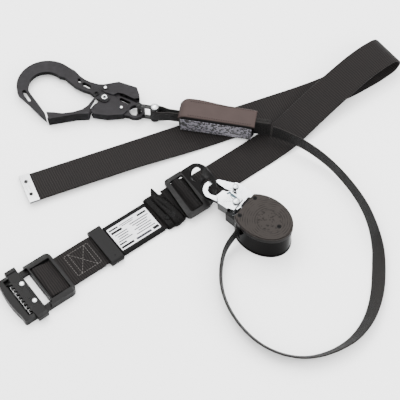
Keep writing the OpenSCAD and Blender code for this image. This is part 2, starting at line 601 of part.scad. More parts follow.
module hook_frame() color(dark_steel) at_hook(0) difference() {
    union() {
        slab(plate_z, plate_top) hook_outline();
        post(link_eye_r + 4.6, plate_z, plate_top, eye_at[0], eye_at[1]);
    }
    long_hole([-115, -14], [-103, -26], 2.6);
    long_hole([-45.5, 25.6], [-43.6, 22.4], 1.8);
    long_hole([-36, 19.6], [-27.5, 16.4], 2.7);
    long_hole([22.5, 6.2], [35, 2.6], 2.3);
    post(link_eye_r, 0, 60, eye_at[0], eye_at[1]);
    post(4, 0, 60);
    post(2, 0, 60, small_rivet[0], small_rivet[1]);
    post(2.5, 0, 60, lower_rivet[0], lower_rivet[1]);
}
cheek_t = 2.2;
cheek_outline = [[-4, 21], [4, 21], [9, 12], [19, 1], [33, -3], [37, -12], [33, -20], [12, -27.5],
                 [-9, -29], [-12.6, -24.6], [-7, -5], [-7, 12]];
module hook_cheeks() color(dark_steel) at_hook(0) difference() {
    union() {
        for (z = [plate_z - cheek_t - 0.1, plate_top + 0.1]) slab(z, z + cheek_t) polygon(cheek_outline);
        slab(plate_z - cheek_t - 0.1, plate_top + 0.1 + cheek_t)
            polygon([[36, -13.5], [33, -20], [12, -27.5], [-9, -29], [-8.8, -27], [12, -25.4],
                     [32, -17.8], [34.6, -12.5]]);
    }
    slab(plate_z - 0.05, plate_top + 0.05) union() {
        hook_outline();
        translate(eye_at) circle(link_eye_r + 4.8);
    }
    post(4, 0, 60);
    post(2, 0, 60, small_rivet[0], small_rivet[1]);
    post(2.5, 0, 60, lower_rivet[0], lower_rivet[1]);
}
cheek_top = plate_top + 0.1 + cheek_t;
cheek_low = plate_z - cheek_t - 0.1;
lever_t = 2;
module hook_rivets() color(silver) at_hook(0) {
    // the small rivet carries the lever on a shoulder at each end
    translate([small_rivet[0], small_rivet[1], 0]) {
        post(2, cheek_low, cheek_top);
        for (z = [cheek_top, cheek_low - lever_t - 0.5]) post(3, z, z + lever_t + 0.5);
        for (z = [cheek_top + lever_t + 0.5, cheek_low - lever_t - 1.4]) post(3.7, z, z + 0.9);
    }
    translate([lower_rivet[0], lower_rivet[1], 0]) {
        post(2.5, cheek_low, cheek_top);
        for (z = [cheek_top, cheek_low - 1]) post(3, z, z + 1);
    }
}
gate_t = 1.8;
gate_top = cheek_top + 0.3;
gate_low = cheek_low - 0.3;
gate_plan = [[-72.4, -43.6], [-62, -41.5], [-50, -40.4], [-36, -34.5], [-25, -27], [-19, -18.5],
             [-14.6, -5], [-7, 4], [4, 4], [6, -3], [-3, -6], [-11.6, -4.2], [-14.3, -22.5],
             [-13.5, -30.5], [-30, -35.5], [-66, -54.5]];
module gate_edge()
    polygon([[-66, -54.5], [-30, -36.9], [-13.5, -31.9], [-13.5, -29.9], [-30, -34.9], [-65, -52.3]]);
module hook_gate() color(dark_steel) at_hook(0) difference() {
    union() {
        for (z = [gate_low - gate_t, gate_top]) slab(z, z + gate_t) union() {
            polygon(gate_plan);
            circle(7.5);
        }
        slab(gate_low - gate_t, gate_top + gate_t) intersection() {
            gate_edge();
            circle(nose_r - 0.9, $fn = 180);
        }
    }
    post(4 + gap, -5, 60);
}
module gate_rivet() color(silver) at_hook(0) difference() {
    union() {
        post(4, gate_low - gate_t - 0.2, gate_top + gate_t + 0.2);
        post(6, gate_top + gate_t + 0.2, gate_top + gate_t + 1.4);
        post(6, gate_low - gate_t - 1.4, gate_low - gate_t - 0.2);
    }
    post(1.8, gate_top - 6, 60);
}
module gate_spring() color(black) at_hook(-14, 6) difference() {
    post(3.6, plate_top + 0.2, gate_top - 0.2);
    post(2.4, 0, 60);
}
lever_plan = [[-8, 22.5], [12, 32.5], [39.5, 29], [46.5, 17.5], [47, 11.5], [41, 8.4], [24, 13.2],
              [16, 13], [11, 8.2], [-2, 9.2], [-9, 13.5]];
module hook_lever() color(dark_steel) at_hook(0) difference() {
    union() {
        for (z = [cheek_top + 0.3, cheek_low - 0.3 - lever_t]) slab(z, z + lever_t) polygon(lever_plan);
        slab(cheek_low - 0.3 - lever_t, cheek_top + 0.3 + lever_t)
            polygon([[12, 32.5], [39.5, 29], [46.5, 17.5], [43.8, 17], [37.6, 26.8], [13, 30]]);
    }
    post(3 + gap, -5, 60, small_rivet[0], small_rivet[1]);
}
module lever_spring() color(black) at_hook(24, 19.4) difference() {
    post(3.4, plate_z, plate_top);
    post(2.4, 0, 60);
}

belt_webbing();
belt_tip();
tip_rivets();
buckle_frame();
belt_bar();
buckle_slider();
slider_rivets();
belt_keeper();
label_sleeve();
label_card();
hanger_band();
hanger_snaps();
ring_webbing();
d_ring_plate();
snap_body();
snap_gate();
snap_lever();
snap_rivets();
snap_spring();
reel_bracket();
bracket_bolts();
reel_case();
reel_lid();
reel_screws();
bearing_plate();
drum();
drum_shaft();
drum_bush();
drum_webbing();
lead_webbing();
power_spring();
ratchet_wheel();
lock_pawl();
pawl_pin();
pawl_spring();
web_guide();
lanyard_webbing();
absorber_core();
absorber_cover();
absorber_label();
absorber_stub();
front_strap();
link_pin();
swivel_link();
hook_frame();
hook_cheeks();
hook_rivets();
hook_gate();
gate_rivet();
gate_spring();
hook_lever();
lever_spring();
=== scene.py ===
import math

import bpy
from mathutils import Matrix, Vector, noise


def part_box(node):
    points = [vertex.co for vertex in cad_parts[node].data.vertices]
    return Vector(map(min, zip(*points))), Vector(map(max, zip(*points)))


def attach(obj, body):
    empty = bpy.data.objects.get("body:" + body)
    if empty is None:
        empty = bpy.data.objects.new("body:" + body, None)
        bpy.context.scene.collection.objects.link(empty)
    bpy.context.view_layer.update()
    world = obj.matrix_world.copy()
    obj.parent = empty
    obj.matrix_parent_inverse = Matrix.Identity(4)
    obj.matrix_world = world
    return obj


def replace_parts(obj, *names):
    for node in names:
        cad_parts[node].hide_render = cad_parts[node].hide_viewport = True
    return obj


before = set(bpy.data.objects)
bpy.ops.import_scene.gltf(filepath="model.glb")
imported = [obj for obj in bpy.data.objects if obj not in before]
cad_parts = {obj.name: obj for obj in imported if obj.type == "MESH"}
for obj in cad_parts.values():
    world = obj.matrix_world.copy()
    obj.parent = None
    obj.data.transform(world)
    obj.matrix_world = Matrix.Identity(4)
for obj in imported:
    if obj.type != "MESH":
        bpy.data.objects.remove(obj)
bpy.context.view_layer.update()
MM = 0.001


# ---------- frames of the sub-assemblies, in millimetres ----------
class Place:
    """A sub-assembly's own frame: the middle of one CAD node lies at (x, y) in it."""

    def __init__(self, node, x, y, heading):
        low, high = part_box(node)
        middle = (low + high) / (2 * MM)
        self.heading = heading
        self.turn = Matrix.Rotation(math.radians(heading), 3, "Z")
        self.start = Vector((middle.x, middle.y, 0)) - self.turn @ Vector((x, y, 0))

    def spot(self, x, y, z=0):
        return self.start + self.turn @ Vector((x, y, z))

    def at(self, x, y, z=0):
        return self.spot(x, y, z) * MM


# where the buckle's bar, the reel's shaft and the absorber's pin are in their own frames
BAR_X, SHAFT_X, PIN_X = -28.4, 42.5, -36
BELT = Place("belt_bar", BAR_X, 0, 36.7)
TIP = Place("belt_tip", 7.4, 0, 22)
REEL = Place("drum_shaft", SHAFT_X, 0, -37)
HOOK = Place("gate_rivet", 0, 0, -14)
PACK = Place("link_pin", PIN_X, 0, -10.2)


# ---------- materials ----------
class Look:
    """A node material; each method adds nodes and returns the output to use."""

    def __init__(self, name, **values):
        self.material = bpy.data.materials.new(name)
        self.material.use_nodes = True
        self.tree = self.material.node_tree
        self.shader = self.tree.nodes["Principled BSDF"]
        self.set(**values)

    def set(self, **values):
        for key, value in values.items():
            socket = self.shader.inputs[key.replace("_", " ")]
            if isinstance(value, bpy.types.NodeSocket):
                self.tree.links.new(value, socket)
            else:
                socket.default_value = (*value, 1) if hasattr(value, "__len__") else value

    def node(self, kind, links=(), **settings):
        made = self.tree.nodes.new(kind)
        for key, value in settings.items():
            setattr(made, key, value)
        for socket, value in links:
            if isinstance(value, bpy.types.NodeSocket):
                self.tree.links.new(value, made.inputs[socket])
            else:
                made.inputs[socket].default_value = value
        return made

    def here(self, stretch=(1, 1, 1), turn=0):
        where = self.node("ShaderNodeTexCoord").outputs["Object"]
        mapped = self.node("ShaderNodeMapping", [("Vector", where), ("Scale", stretch)])
        mapped.inputs["Rotation"].default_value[2] = math.radians(turn)
        return mapped.outputs[0]

    def noise(self, scale, detail=3, where=None, rough=0.55):
        made = self.node("ShaderNodeTexNoise",
                         [("Vector", where or self.here()), ("Scale", scale), ("Detail", detail),
                          ("Roughness", rough)])
        return made.outputs["Fac"]

    def calc(self, operation, a, b=0.0):
        return self.node("ShaderNodeMath", [(0, a), (1, b)], operation=operation).outputs[0]

    def range(self, value, a, b, low=0.0, high=1.0):
        made = self.node("ShaderNodeMapRange", [("Value", value), ("From Min", a), ("From Max", b),
                                                ("To Min", low), ("To Max", high)])
        return made.outputs[0]

    def blend(self, factor, a, b):
        made = self.node("ShaderNodeMix", [(0, factor)], data_type="RGBA")
        for socket, value in ((6, a), (7, b)):
            if isinstance(value, bpy.types.NodeSocket):
                self.tree.links.new(value, made.inputs[socket])
            else:
                made.inputs[socket].default_value = (*value, 1)
        return made.outputs[2]

    def bump(self, height, distance, strength=1.0, under=None):
        links = [("Height", height), ("Distance", distance), ("Strength", strength)]
        if under is not None:
            links.append(("Normal", under))
        return self.node("ShaderNodeBump", links).outputs[0]

    def painted_light_by_facing(self, base, side, low=0.1, high=0.9):
        """Painted light and shade: the base colour on faces that look up, a darker one on the
        sides.
        """
        normal = self.node("ShaderNodeTexCoord").outputs["Normal"]
        up = self.node("ShaderNodeSeparateXYZ", [(0, normal)]).outputs[2]
        return self.blend(self.range(up, low, high), side, base)

    def edges(self):
        pointed = self.node("ShaderNodeNewGeometry").outputs["Pointiness"]
        return self.range(pointed, 0.52, 0.6)


def webbing_look(name, dark, light, across, along, rough, upper=None):
    """Woven webbing: u runs across and v along the strip, both in metres."""
    skew = 0.5
    look = Look(name, Sheen_Weight=0.03, Sheen_Roughness=0.5, Specular_IOR_Level=0.08)
    rib = look.node("ShaderNodeAttribute", attribute_name="rib").outputs["Fac"]
    uv = look.node("ShaderNodeUVMap", uv_map="weave").outputs[0]
    split = look.node("ShaderNodeSeparateXYZ", [(0, uv)])
    u = look.calc("DIVIDE", split.outputs[0], across)
    v = look.calc("DIVIDE", split.outputs[1], along)
    warp = look.calc("ABSOLUTE", look.calc("SINE", look.calc("MULTIPLY", u, math.pi)))
    step = look.calc("MULTIPLY", look.calc("FLOOR", u), skew)
    pick = look.calc("MULTIPLY", look.calc("ADD", v, step), math.pi)
    weft = look.calc("ABSOLUTE", look.calc("SINE", pick))
    height = look.calc("MULTIPLY", warp, look.calc("ADD", look.calc("MULTIPLY", weft, 0.6), 0.4))
    patches = look.noise(45, 4)
    fuzz = look.noise(2600, 2)
    # Painted shade in the weave: its low parts and the valleys between the modelled ribs are
    # darker; the patches and fuzz are the yarn's own uneven tone.
    weave_shade_and_tone = look.calc("MULTIPLY", look.range(height, 0, 1, 0.45, 1.0),
                     look.range(patches, 0.3, 0.7, 0.6, 1.0))
    weave_shade_and_tone = look.calc("MULTIPLY", weave_shade_and_tone, look.range(rib, 0.25, 0.95, 0.0, 1.0))
    weave_shade_and_tone = look.calc("ADD", weave_shade_and_tone, look.range(fuzz, 0.45, 0.75, 0.0, 0.15))
    base = look.blend(weave_shade_and_tone, dark, light)
    # Painted light: with upper given, faces that look up get the lighter upper colour, the sides
    # the darker base.
    if upper:
        base = look.painted_light_by_facing(look.blend(weave_shade_and_tone, light, upper), base, 0.55, 0.95)
    look.set(Base_Color=base,
             Roughness=look.range(patches, 0.3, 0.7, rough - 0.08, rough + 0.1))
    rise = look.bump(height, 0.0004, 0.9)
    look.set(Normal=look.bump(fuzz, 0.00015, 0.5, rise))
    return look.material


def painted_look(name, colour, worn, rough, *, shine, sides=0.4):
    """Paint or plating with an even grain, cloudy roughness, rubbed edges and painted side shade.
    """
    look = Look(name, Specular_IOR_Level=shine)
    cloud = look.noise(38, 4)
    fine = look.noise(1900, 3)
    rub = look.calc("MULTIPLY", look.edges(), look.range(look.noise(160, 4), 0.35, 0.65))
    shade = tuple(c * 0.78 for c in colour)
    base = look.blend(look.range(cloud, 0.3, 0.7), shade, colour)
    # Painted shade: side faces take the colour times sides.
    base = look.painted_light_by_facing(base, tuple(c * sides for c in colour))
    speck = look.range(fine, 0.62, 0.74, 0, 0.25)
    base = look.blend(speck, base, worn)
    look.set(Base_Color=look.blend(look.calc("MULTIPLY", rub, 0.75), base, worn),
             Roughness=look.range(cloud, 0.25, 0.75, rough - 0.07, rough + 0.07))
    look.set(Normal=look.bump(fine, 0.00006, 0.5))
    return look.material


def metal_look(name, colour, rough, brushed=0.0, turn=0, dull=0.8, sides=0.45):
    """Bare or plated metal with stains, fine scratches, a little dulling and painted side shade."""
    look = Look(name, Metallic=1.0)
    cloud = look.noise(55, 5)
    scratch = look.noise(700, 3, look.here((1, 0.06, 1), turn))
    dirt = look.range(look.noise(130, 5), 0.52, 0.75, 0, 0.5)
    low = tuple(c * dull for c in colour)
    base = look.blend(look.range(cloud, 0.3, 0.7), low, colour)
    # Painted shade: side faces take the colour times sides.
    base = look.painted_light_by_facing(look.blend(dirt, base, low), tuple(c * sides for c in colour))
    look.set(Base_Color=base,
             Roughness=look.calc("ADD", look.range(cloud, 0.25, 0.75, rough - 0.06, rough + 0.08),
                                 look.calc("MULTIPLY", scratch, brushed)))
    look.set(Normal=look.bump(scratch, 0.00004, 0.4 + brushed))
    return look.material


def plastic_look(name, colour, rough, grain_scale=1500, grain=0.00008, *, shine, sides=0.7):
    """Moulded plastic or vinyl with a fine texture and painted side shade."""
    look = Look(name, Specular_IOR_Level=shine)
    cloud = look.noise(30, 4)
    fine = look.noise(grain_scale, 2)
    low = tuple(c * 0.82 for c in colour)
    base = look.blend(look.range(cloud, 0.3, 0.7), low, colour)
    # Painted shade: side faces take the colour times sides.
    look.set(Base_Color=look.painted_light_by_facing(base, tuple(c * sides for c in colour)),
             Roughness=look.range(cloud, 0.25, 0.75, rough - 0.05, rough + 0.08))
    look.set(Normal=look.bump(fine, grain, 0.55))
    return look.material


def lid_look(name, colour, centre):
    """Moulded lid: shallow rings round its middle, worn away in patches, and a speckled middle."""
    look = Look(name, Specular_IOR_Level=0.05)
    where = look.node("ShaderNodeTexCoord").outputs["Object"]
    flat = look.node("ShaderNodeVectorMath", [(0, where), (1, (1, 1, 0))], operation="MULTIPLY")
    middle = (centre.x, centre.y, 0)
    away = look.node("ShaderNodeVectorMath", [(0, flat.outputs[0]), (1, middle)],
                     operation="DISTANCE").outputs["Value"]
    rings = look.calc("SINE", look.calc("MULTIPLY", away, math.tau / 0.0032))
    worn = look.range(look.noise(120, 3), 0.4, 0.6)
    outside = look.range(away, 0.013, 0.017)
    groove = look.calc("MULTIPLY", look.range(rings, 0.55, 0.95),
                       look.calc("MULTIPLY", worn, outside))
    specks = look.range(look.noise(330, 2), 0.56, 0.6)
    specks = look.calc("MULTIPLY", specks, look.range(away, 0.022, 0.014))
    cut = look.calc("MAXIMUM", groove, look.calc("MULTIPLY", specks, 0.8))
    cloud = look.noise(30, 4)
    base = look.blend(look.range(cloud, 0.3, 0.7), tuple(c * 0.82 for c in colour), colour)
    # Painted shade: the cut-in rings and specks are darkened to a fifth of the colour.
    base = look.blend(look.calc("MULTIPLY", cut, 0.9), base, tuple(c * 0.2 for c in colour))
    # Painted shade: the lid's sides take 0.15 of its colour.
    look.set(Base_Color=look.painted_light_by_facing(base, tuple(c * 0.15 for c in colour)),
             Roughness=look.range(cloud, 0.25, 0.75, 0.45, 0.58))
    grain = look.bump(look.noise(900, 2), 0.0003, 0.5)
    look.set(Normal=look.bump(look.calc("SUBTRACT", 1.0, cut), 0.0002, 0.6, grain))
    return look.material


def leather_look(name, colour, rough):
    """Leather with a fine grain of cells and soft creases, painted darker in their dips."""
    look = Look(name, Specular_IOR_Level=0.05)
    cells = look.node("ShaderNodeTexVoronoi", [("Vector", look.here()), ("Scale", 900)],
                      feature="DISTANCE_TO_EDGE").outputs["Distance"]
    crease = look.noise(120, 5)
    height = look.calc("ADD", look.range(cells, 0, 0.12), look.calc("MULTIPLY", crease, 1.5))
    # Painted shade: the colour darkens where the crease noise dips, as the bump does.
    low = tuple(c * 0.6 for c in colour)
    look.set(Base_Color=look.blend(look.range(crease, 0.3, 0.7), low, colour),
             Roughness=look.range(crease, 0.25, 0.75, rough - 0.08, rough + 0.1),
             Normal=look.bump(height, 0.00012, 0.7))
    return look.material


def speckled_look(name, ground, dots):
    """A woven cloth label whose print is only random speckles."""
    look = Look(name, Sheen_Weight=0.1, Roughness=0.75)
    spots = look.noise(290, 3, look.here(), 0.6)
    broad = look.noise(60, 3)
    mask = look.range(spots, 0.488, 0.512)
    base = look.blend(look.range(broad, 0.3, 0.7), tuple(c * 0.8 for c in ground), ground)
    look.set(Base_Color=look.blend(mask, base, dots), Normal=look.bump(spots, 0.0001, 0.5))
    return look.material


WEBBING = webbing_look("belt weave", (0.0012, 0.001, 0.001), (0.0172, 0.0146, 0.014), 0.0012,
                       0.0032, 0.66)
FOLD = webbing_look("fold weave", (0.0008, 0.0007, 0.0007), (0.0064, 0.0052, 0.005), 0.0012,
                    0.0032, 0.66)
# The lanyard's last colour is painted light on its faces that look up.
LANYARD = webbing_look("lanyard weave", (0.0008, 0.0007, 0.0007), (0.005, 0.0045, 0.0043),
                       0.0008, 0.0016, 0.6, (0.026, 0.024, 0.023))
CORE = webbing_look("tear webbing", (0.06, 0.05, 0.02), (0.20, 0.17, 0.07), 0.0009, 0.0018, 0.7)
# sides=: the share of the colour painted on side faces as their shade; looks without it use their
# default.
THREAD = plastic_look("grey thread", (0.10, 0.094, 0.09), 0.7, 3000, shine=0.1)
BLACK_THREAD = plastic_look("black thread", (0.003, 0.003, 0.003), 0.7, 3000, shine=0.06)
BLACK_PAINT = painted_look("black paint", (0.0062, 0.006, 0.006), (0.03, 0.03, 0.03), 0.4,
                           shine=0.07)
# Painted shade: the hook paint's sides are nearly black, at 0.05 of the colour.
GREY_PAINT = painted_look("grey hook paint", (0.0165, 0.0155, 0.0165), (0.045, 0.045, 0.05), 0.5,
                          sides=0.05, shine=0.035)
# Painted shade: the zinc's side faces at 0.03 of its colour.
ZINC = metal_look("zinc plate", (0.55, 0.57, 0.59), 0.24, 0.1, dull=0.66, sides=0.03)
BRIGHT = metal_look("bright plate", (0.68, 0.69, 0.70), 0.24, 0.04, 22)
DARK_STEEL = painted_look("dark plated steel", (0.0045, 0.0044, 0.0046), (0.035, 0.035, 0.035),
                          0.30, shine=0.1)
SPRING = metal_look("spring steel", (0.12, 0.12, 0.125), 0.35)
BRONZE = metal_look("bronze", (0.35, 0.22, 0.10), 0.38)
SCREW = painted_look("black oxide", (0.0012, 0.0012, 0.0012), (0.02, 0.02, 0.02), 0.38, shine=0.05)
KEEPER = plastic_look("keeper plastic", (0.0105, 0.0103, 0.0104), 0.5, 1200, sides=0.4, shine=0.05)
NYLON = plastic_look("drum nylon", (0.04, 0.04, 0.04), 0.5, shine=0.2)
GUIDE = plastic_look("guide plastic", (0.004, 0.004, 0.004), 0.4, shine=0.06)
CASE = plastic_look("glossy case", (0.0011, 0.0009, 0.0008), 0.12, 700, 0.00002, shine=0.014)
LID = lid_look("lid plastic", (0.023, 0.0198, 0.0182), REEL.at(41, 0))
VINYL = plastic_look("black vinyl", (0.0018, 0.0018, 0.0018), 0.42, 900, 0.00008, shine=0.06)
COVER = plastic_look("cover vinyl", (0.040, 0.029, 0.027), 0.62, 800, 0.00015, sides=0.3,
                     shine=0.06)
LEATHER = leather_look("black leather", (0.0016, 0.0014, 0.0013), 0.24)
CARD = plastic_look("label card", (0.68, 0.68, 0.70), 0.35, 900, 0.00002, shine=0.3)
PRINT = plastic_look("print grey", (0.022, 0.022, 0.028), 0.5, shine=0.1)
PRINT_DARK = plastic_look("print dark", (0.003, 0.003, 0.004), 0.5, shine=0.1)
WINDOW_SHADE = metal_look("painted window shade", (0.035, 0.05, 0.058), 0.4)
SPECKLED = speckled_look("speckled label", (0.13, 0.123, 0.148), (0.0008, 0.0006, 0.0008))


# ---------- meshes ----------
def add_object(name, data):
    """A new object in the scene."""
    made = bpy.data.objects.new(name, data)
    bpy.context.collection.objects.link(made)
    return made


def mesh_piece(name, points, faces, look, body="set", uvs=None, flat=False):
    """A mesh from points in metres; its texture coordinates, where given, are per point."""
    mesh = bpy.data.meshes.new(name)
    mesh.from_pydata([tuple(p) for p in points], [], faces)
    if uvs:
        layer = mesh.uv_layers.new(name="weave")
        for loop in mesh.loops:
            layer.data[loop.index].uv = uvs[loop.vertex_index]
    mesh.materials.append(look)
    mesh.validate()
    piece = add_object(name, mesh)
    mesh.polygons.foreach_set("use_smooth", [not flat] * len(mesh.polygons))
    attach(piece, body)
    return piece


def tube_faces(rings, size, closed=False):
    """Faces of rings of equal size: one face closes each end, or the last ring joins the first."""
    faces = []
    last = rings if closed else rings - 1
    for i in range(last):
        a, b = i * size, (i + 1) % rings * size
        for j in range(size):
            k = (j + 1) % size
            faces.append((a + j, a + k, b + k, b + j))
    if not closed:
        faces.append(tuple(reversed(range(size))))
        faces.append(tuple((rings - 1) * size + j for j in range(size)))
    return faces


def lathe(name, profile, centre, look, body="set", ring=False):
    """A turned piece: profile is (radius, height) from bottom to top, or round a ring."""
    turns, points = 40, []
    for r, z in profile:
        for k in range(turns):
            a = math.tau * k / turns
            points.append(Vector((r * math.cos(a), r * math.sin(a), z)))
    faces = tube_faces(len(profile), turns, ring)
    return mesh_piece(name, [p * MM + centre for p in points], faces, look, body)


def smooth_run(stations, step):
    """One smooth line through stations [x, y, z, heading, tilt], sampled every step mm."""
    rows = [list(s) for s in stations]
    for i in range(1, len(rows)):
        back = rows[i - 1][3]
        rows[i][3] = back + (rows[i][3] - back + 180) % 360 - 180
    knots = [0.0]
    for a, b in zip(rows, rows[1:]):
        knots.append(knots[-1] + math.dist(a[:3], b[:3]))
    slopes = [[(b[c] - a[c]) / (knots[i + 1] - knots[i]) for c in range(5)]
              for i, (a, b) in enumerate(zip(rows, rows[1:]))]
    tangents = []
    for i in range(len(rows)):
        if i in (0, len(rows) - 1):
            tangents.append(slopes[0 if i == 0 else -1])
            continue
        before, after = knots[i] - knots[i - 1], knots[i + 1] - knots[i]
        row = []
        for c in range(5):
            p, q = slopes[i - 1][c], slopes[i][c]
            m = (q * before + p * after) / (before + after)
            if c >= 2:
                m = 0.0 if p * q <= 0 else math.copysign(min(abs(m), 2 * abs(p), 2 * abs(q)), m)
            row.append(m)
        tangents.append(row)
    dense = []
    for i in range(len(rows) - 1):
        span = knots[i + 1] - knots[i]
        parts = max(2, round(span / 0.4))
        for k in range(parts + (i == len(rows) - 2)):
            t = k / parts
            h = (2 * t**3 - 3 * t**2 + 1, t**3 - 2 * t**2 + t, 3 * t**2 - 2 * t**3, t**3 - t**2)
            dense.append([h[0] * rows[i][c] + h[1] * span * tangents[i][c]
                          + h[2] * rows[i + 1][c] + h[3] * span * tangents[i + 1][c]
                          for c in range(5)])
    lengths = [0.0]
    for a, b in zip(dense, dense[1:]):
        lengths.append(lengths[-1] + math.dist(a[:3], b[:3]))
    count = max(3, round(lengths[-1] / step))
    out, j = [], 0
    for k in range(count + 1):
        want = lengths[-1] * k / count
        while j < len(dense) - 2 and lengths[j + 1] < want:
            j += 1
        t = (want - lengths[j]) / max(lengths[j + 1] - lengths[j], 1e-9)
        t = min(max(t, 0.0), 1.0)
        out.append([dense[j][c] * (1 - t) + dense[j + 1][c] * t for c in range(5)])
    return out


def frames(run):
    """Middle, width direction and outward direction at each sample of a run."""
    out = []
    for i, s in enumerate(run):
        a, b = run[max(i - 1, 0)], run[min(i + 1, len(run) - 1)]
        t = Vector(b[:3]) - Vector(a[:3])
        h, tilt = math.radians(s[3]), math.radians(s[4])
        w = Vector((math.sin(h) * math.cos(tilt), -math.cos(h) * math.cos(tilt), math.sin(tilt)))
        normal = w.cross(t).normalized()
        out.append((Vector(s[:3]), w, normal))
    return out


def web_section(width, thick, across):
    """Section of webbing with rounded edges, as (u, side, share of half thickness)."""
    e = thick / 2
    flat = [(-width / 2 + e) + (width - 2 * e) * k / across for k in range(across + 1)]
    edge = [math.radians(a) for a in (60, 25, -25, -60)]
    section = [(u, 1.0) for u in flat]
    section += [(width / 2 - e + e * math.cos(a), math.sin(a)) for a in edge]
    section += [(u, -1.0) for u in reversed(flat)]
    section += [(-width / 2 + e - e * math.cos(a), math.sin(a)) for a in reversed(edge)]
    return section


def ribbed(name, run, width, thick, look, body="set", rib=0.18, pitch=3.3, skew=0.05, across=14,
           sway=0.0):
    """Webbing swept along a run, with the ribs of its weave modelled in both faces."""
    section = web_section(width, thick - 2 * rib, across)
    points, uvs, ribs = [], [], []
    s = 0.0
    for i, (middle, w, normal) in enumerate(frames(run)):
        if i:
            s += math.dist(run[i][:3], run[i - 1][:3])
        for u, side in section:
            wobble = 0.35 * noise.noise(Vector((u * 0.09, s * 0.05, 3.1)))
            ridge = abs(math.sin(math.pi * (s / pitch + skew * u / pitch + wobble)))
            wave = sway * noise.noise(Vector((u * 0.03, s * 0.018, 8.7)))
            off = side * ((thick / 2 - rib) + rib * ridge) + wave
            points.append((middle + w * u + normal * off) * MM)
            uvs.append((u * MM + 0.5, s * MM))
            ribs.append(ridge)
    piece = mesh_piece(name, points, tube_faces(len(run), len(section)), look, body, uvs)
    # The ridge heights, which webbing_look turns into painted shade in the valleys between the
    # ribs.
    piece.data.attributes.new("rib", "FLOAT", "POINT").data.foreach_set("value", ribs)
    return piece


def thread_run(points, normals, length=3.0, space=1.1, radius=0.34):
    """Stitches along a line of points in mm: each thread rises from and dips into the cloth."""
    lift, dip, rings, sides = 0.12, 0.15, 5, 6
    verts, faces = [], []
    total = [0.0]
    for a, b in zip(points, points[1:]):
        total.append(total[-1] + (b - a).length)

    def spot(d):
        j = 0
        while j < len(total) - 2 and total[j + 1] < d:
            j += 1
        t = (d - total[j]) / max(total[j + 1] - total[j], 1e-9)
        return points[j].lerp(points[j + 1], min(max(t, 0), 1)), normals[j]

    count = max(1, round(total[-1] / (length + space)))
    pitch = total[-1] / count
    for k in range(count):
        begin, end = k * pitch + space / 2, (k + 1) * pitch - space / 2
        ring_start = len(verts)
        for i in range(rings):
            t = i / (rings - 1)
            p, n = spot(begin + (end - begin) * t)
            q, _ = spot(min(begin + (end - begin) * t + 0.1, total[-1]))
            step = q - p if (q - p).length > 1e-6 else points[-1] - points[-2]
            along = step.normalized()
            side = along.cross(n).normalized()
            swell = math.sin(math.pi * (0.12 + 0.76 * t))
            r = radius * (0.55 + 0.45 * swell)
            middle = p + n * (lift * swell - dip * (1 - swell))
            for j in range(sides):
                a = math.tau * j / sides
                verts.append((middle + side * (r * math.cos(a))
                              + n * (r * 0.8 * math.sin(a))) * MM)
        faces += [tuple(ring_start + v for v in f) for f in tube_faces(rings, sides)]
    return verts, faces


def stitches(name, lines, look, **sizes):
    """One piece of stitching from several lines, each a list of points with their normals."""
    verts, faces = [], []
    for points, normals in lines:
        v, f = thread_run(points, normals, **sizes)
        faces += [tuple(len(verts) + k for k in face) for face in f]
        verts += v
    return mesh_piece(name, verts, faces, look)


def straight(corners, z):
    """A stitch line through corners (x, y) on the belt at one height, with its normals."""
    points = [BELT.spot(x, y, z) for x, y in corners]
    return points, [Vector((0, 0, 1))] * len(points)


def plate(name, outline, place, z0, z1, look, body="set", soften=0.0):
    """A flat plate from an outline (x, y), with rounded rims where soften is given."""
    size = len(outline)

    def ring(z, inset):
        out = []
        for i, p in enumerate(outline):
            a, b = Vector((*outline[i - 1], 0)), Vector((*outline[(i + 1) % size], 0))
            n = (b - a).cross(Vector((0, 0, 1))).normalized()
            q = Vector((*p, 0)) - n * inset
            out.append(place.at(q.x, q.y, z))
        return out

    levels = [(z0, soften), (z0 + soften, 0), (z1 - soften, 0), (z1 - soften * 0.3, soften * 0.3),
              (z1, soften)] if soften else [(z0, 0), (z1, 0)]
    points = []
    for z, inset in levels:
        points += ring(z, inset)
    return mesh_piece(name, points, tube_faces(len(levels), size), look, body, flat=not soften)


def arc(cx, cy, r, a0, a1, n):
    """Points of an arc about (cx, cy) in n steps, with its angles in degrees."""
    return [(cx + r * math.cos(math.radians(a0 + (a1 - a0) * i / n)),
             cy + r * math.sin(math.radians(a0 + (a1 - a0) * i / n))) for i in range(n + 1)]


def rounded_rect(length, width, r, n=6, cx=0.0, cy=0.0):
    """Outline, anticlockwise, of a rectangle with rounded corners."""
    x, y = length / 2 - r, width / 2 - r
    out = []
    for sx, sy, a in ((1, 1, 0), (-1, 1, 90), (-1, -1, 180), (1, -1, 270)):
        out += arc(cx + sx * x, cy + sy * y, r, a, a + 90, n)
    return out


def dress(node, look, bevel, segments):
    """Gives a CAD node its finish and rounds its edges."""
    piece = bpy.data.objects[node]
    piece.data.materials.clear()
    piece.data.materials.append(look)
    if bevel:
        weld = piece.modifiers.new("Weld", "WELD")
        weld.merge_threshold = 0.000002
        round_edges = piece.modifiers.new("Bevel", "BEVEL")
        round_edges.width = bevel * MM
        round_edges.segments = segments
        round_edges.limit_method = "ANGLE"
        round_edges.angle_limit = math.radians(32)
        piece.modifiers.new("Normals", "WEIGHTED_NORMAL")
        piece.data.polygons.foreach_set("use_smooth", [True] * len(piece.data.polygons))


# ---------- camera ----------
def aim(thing, direction):
    """Turns a camera or light to look along a direction."""
    thing.rotation_mode = "QUATERNION"
    thing.rotation_quaternion = direction.to_track_quat("-Z", "Y")


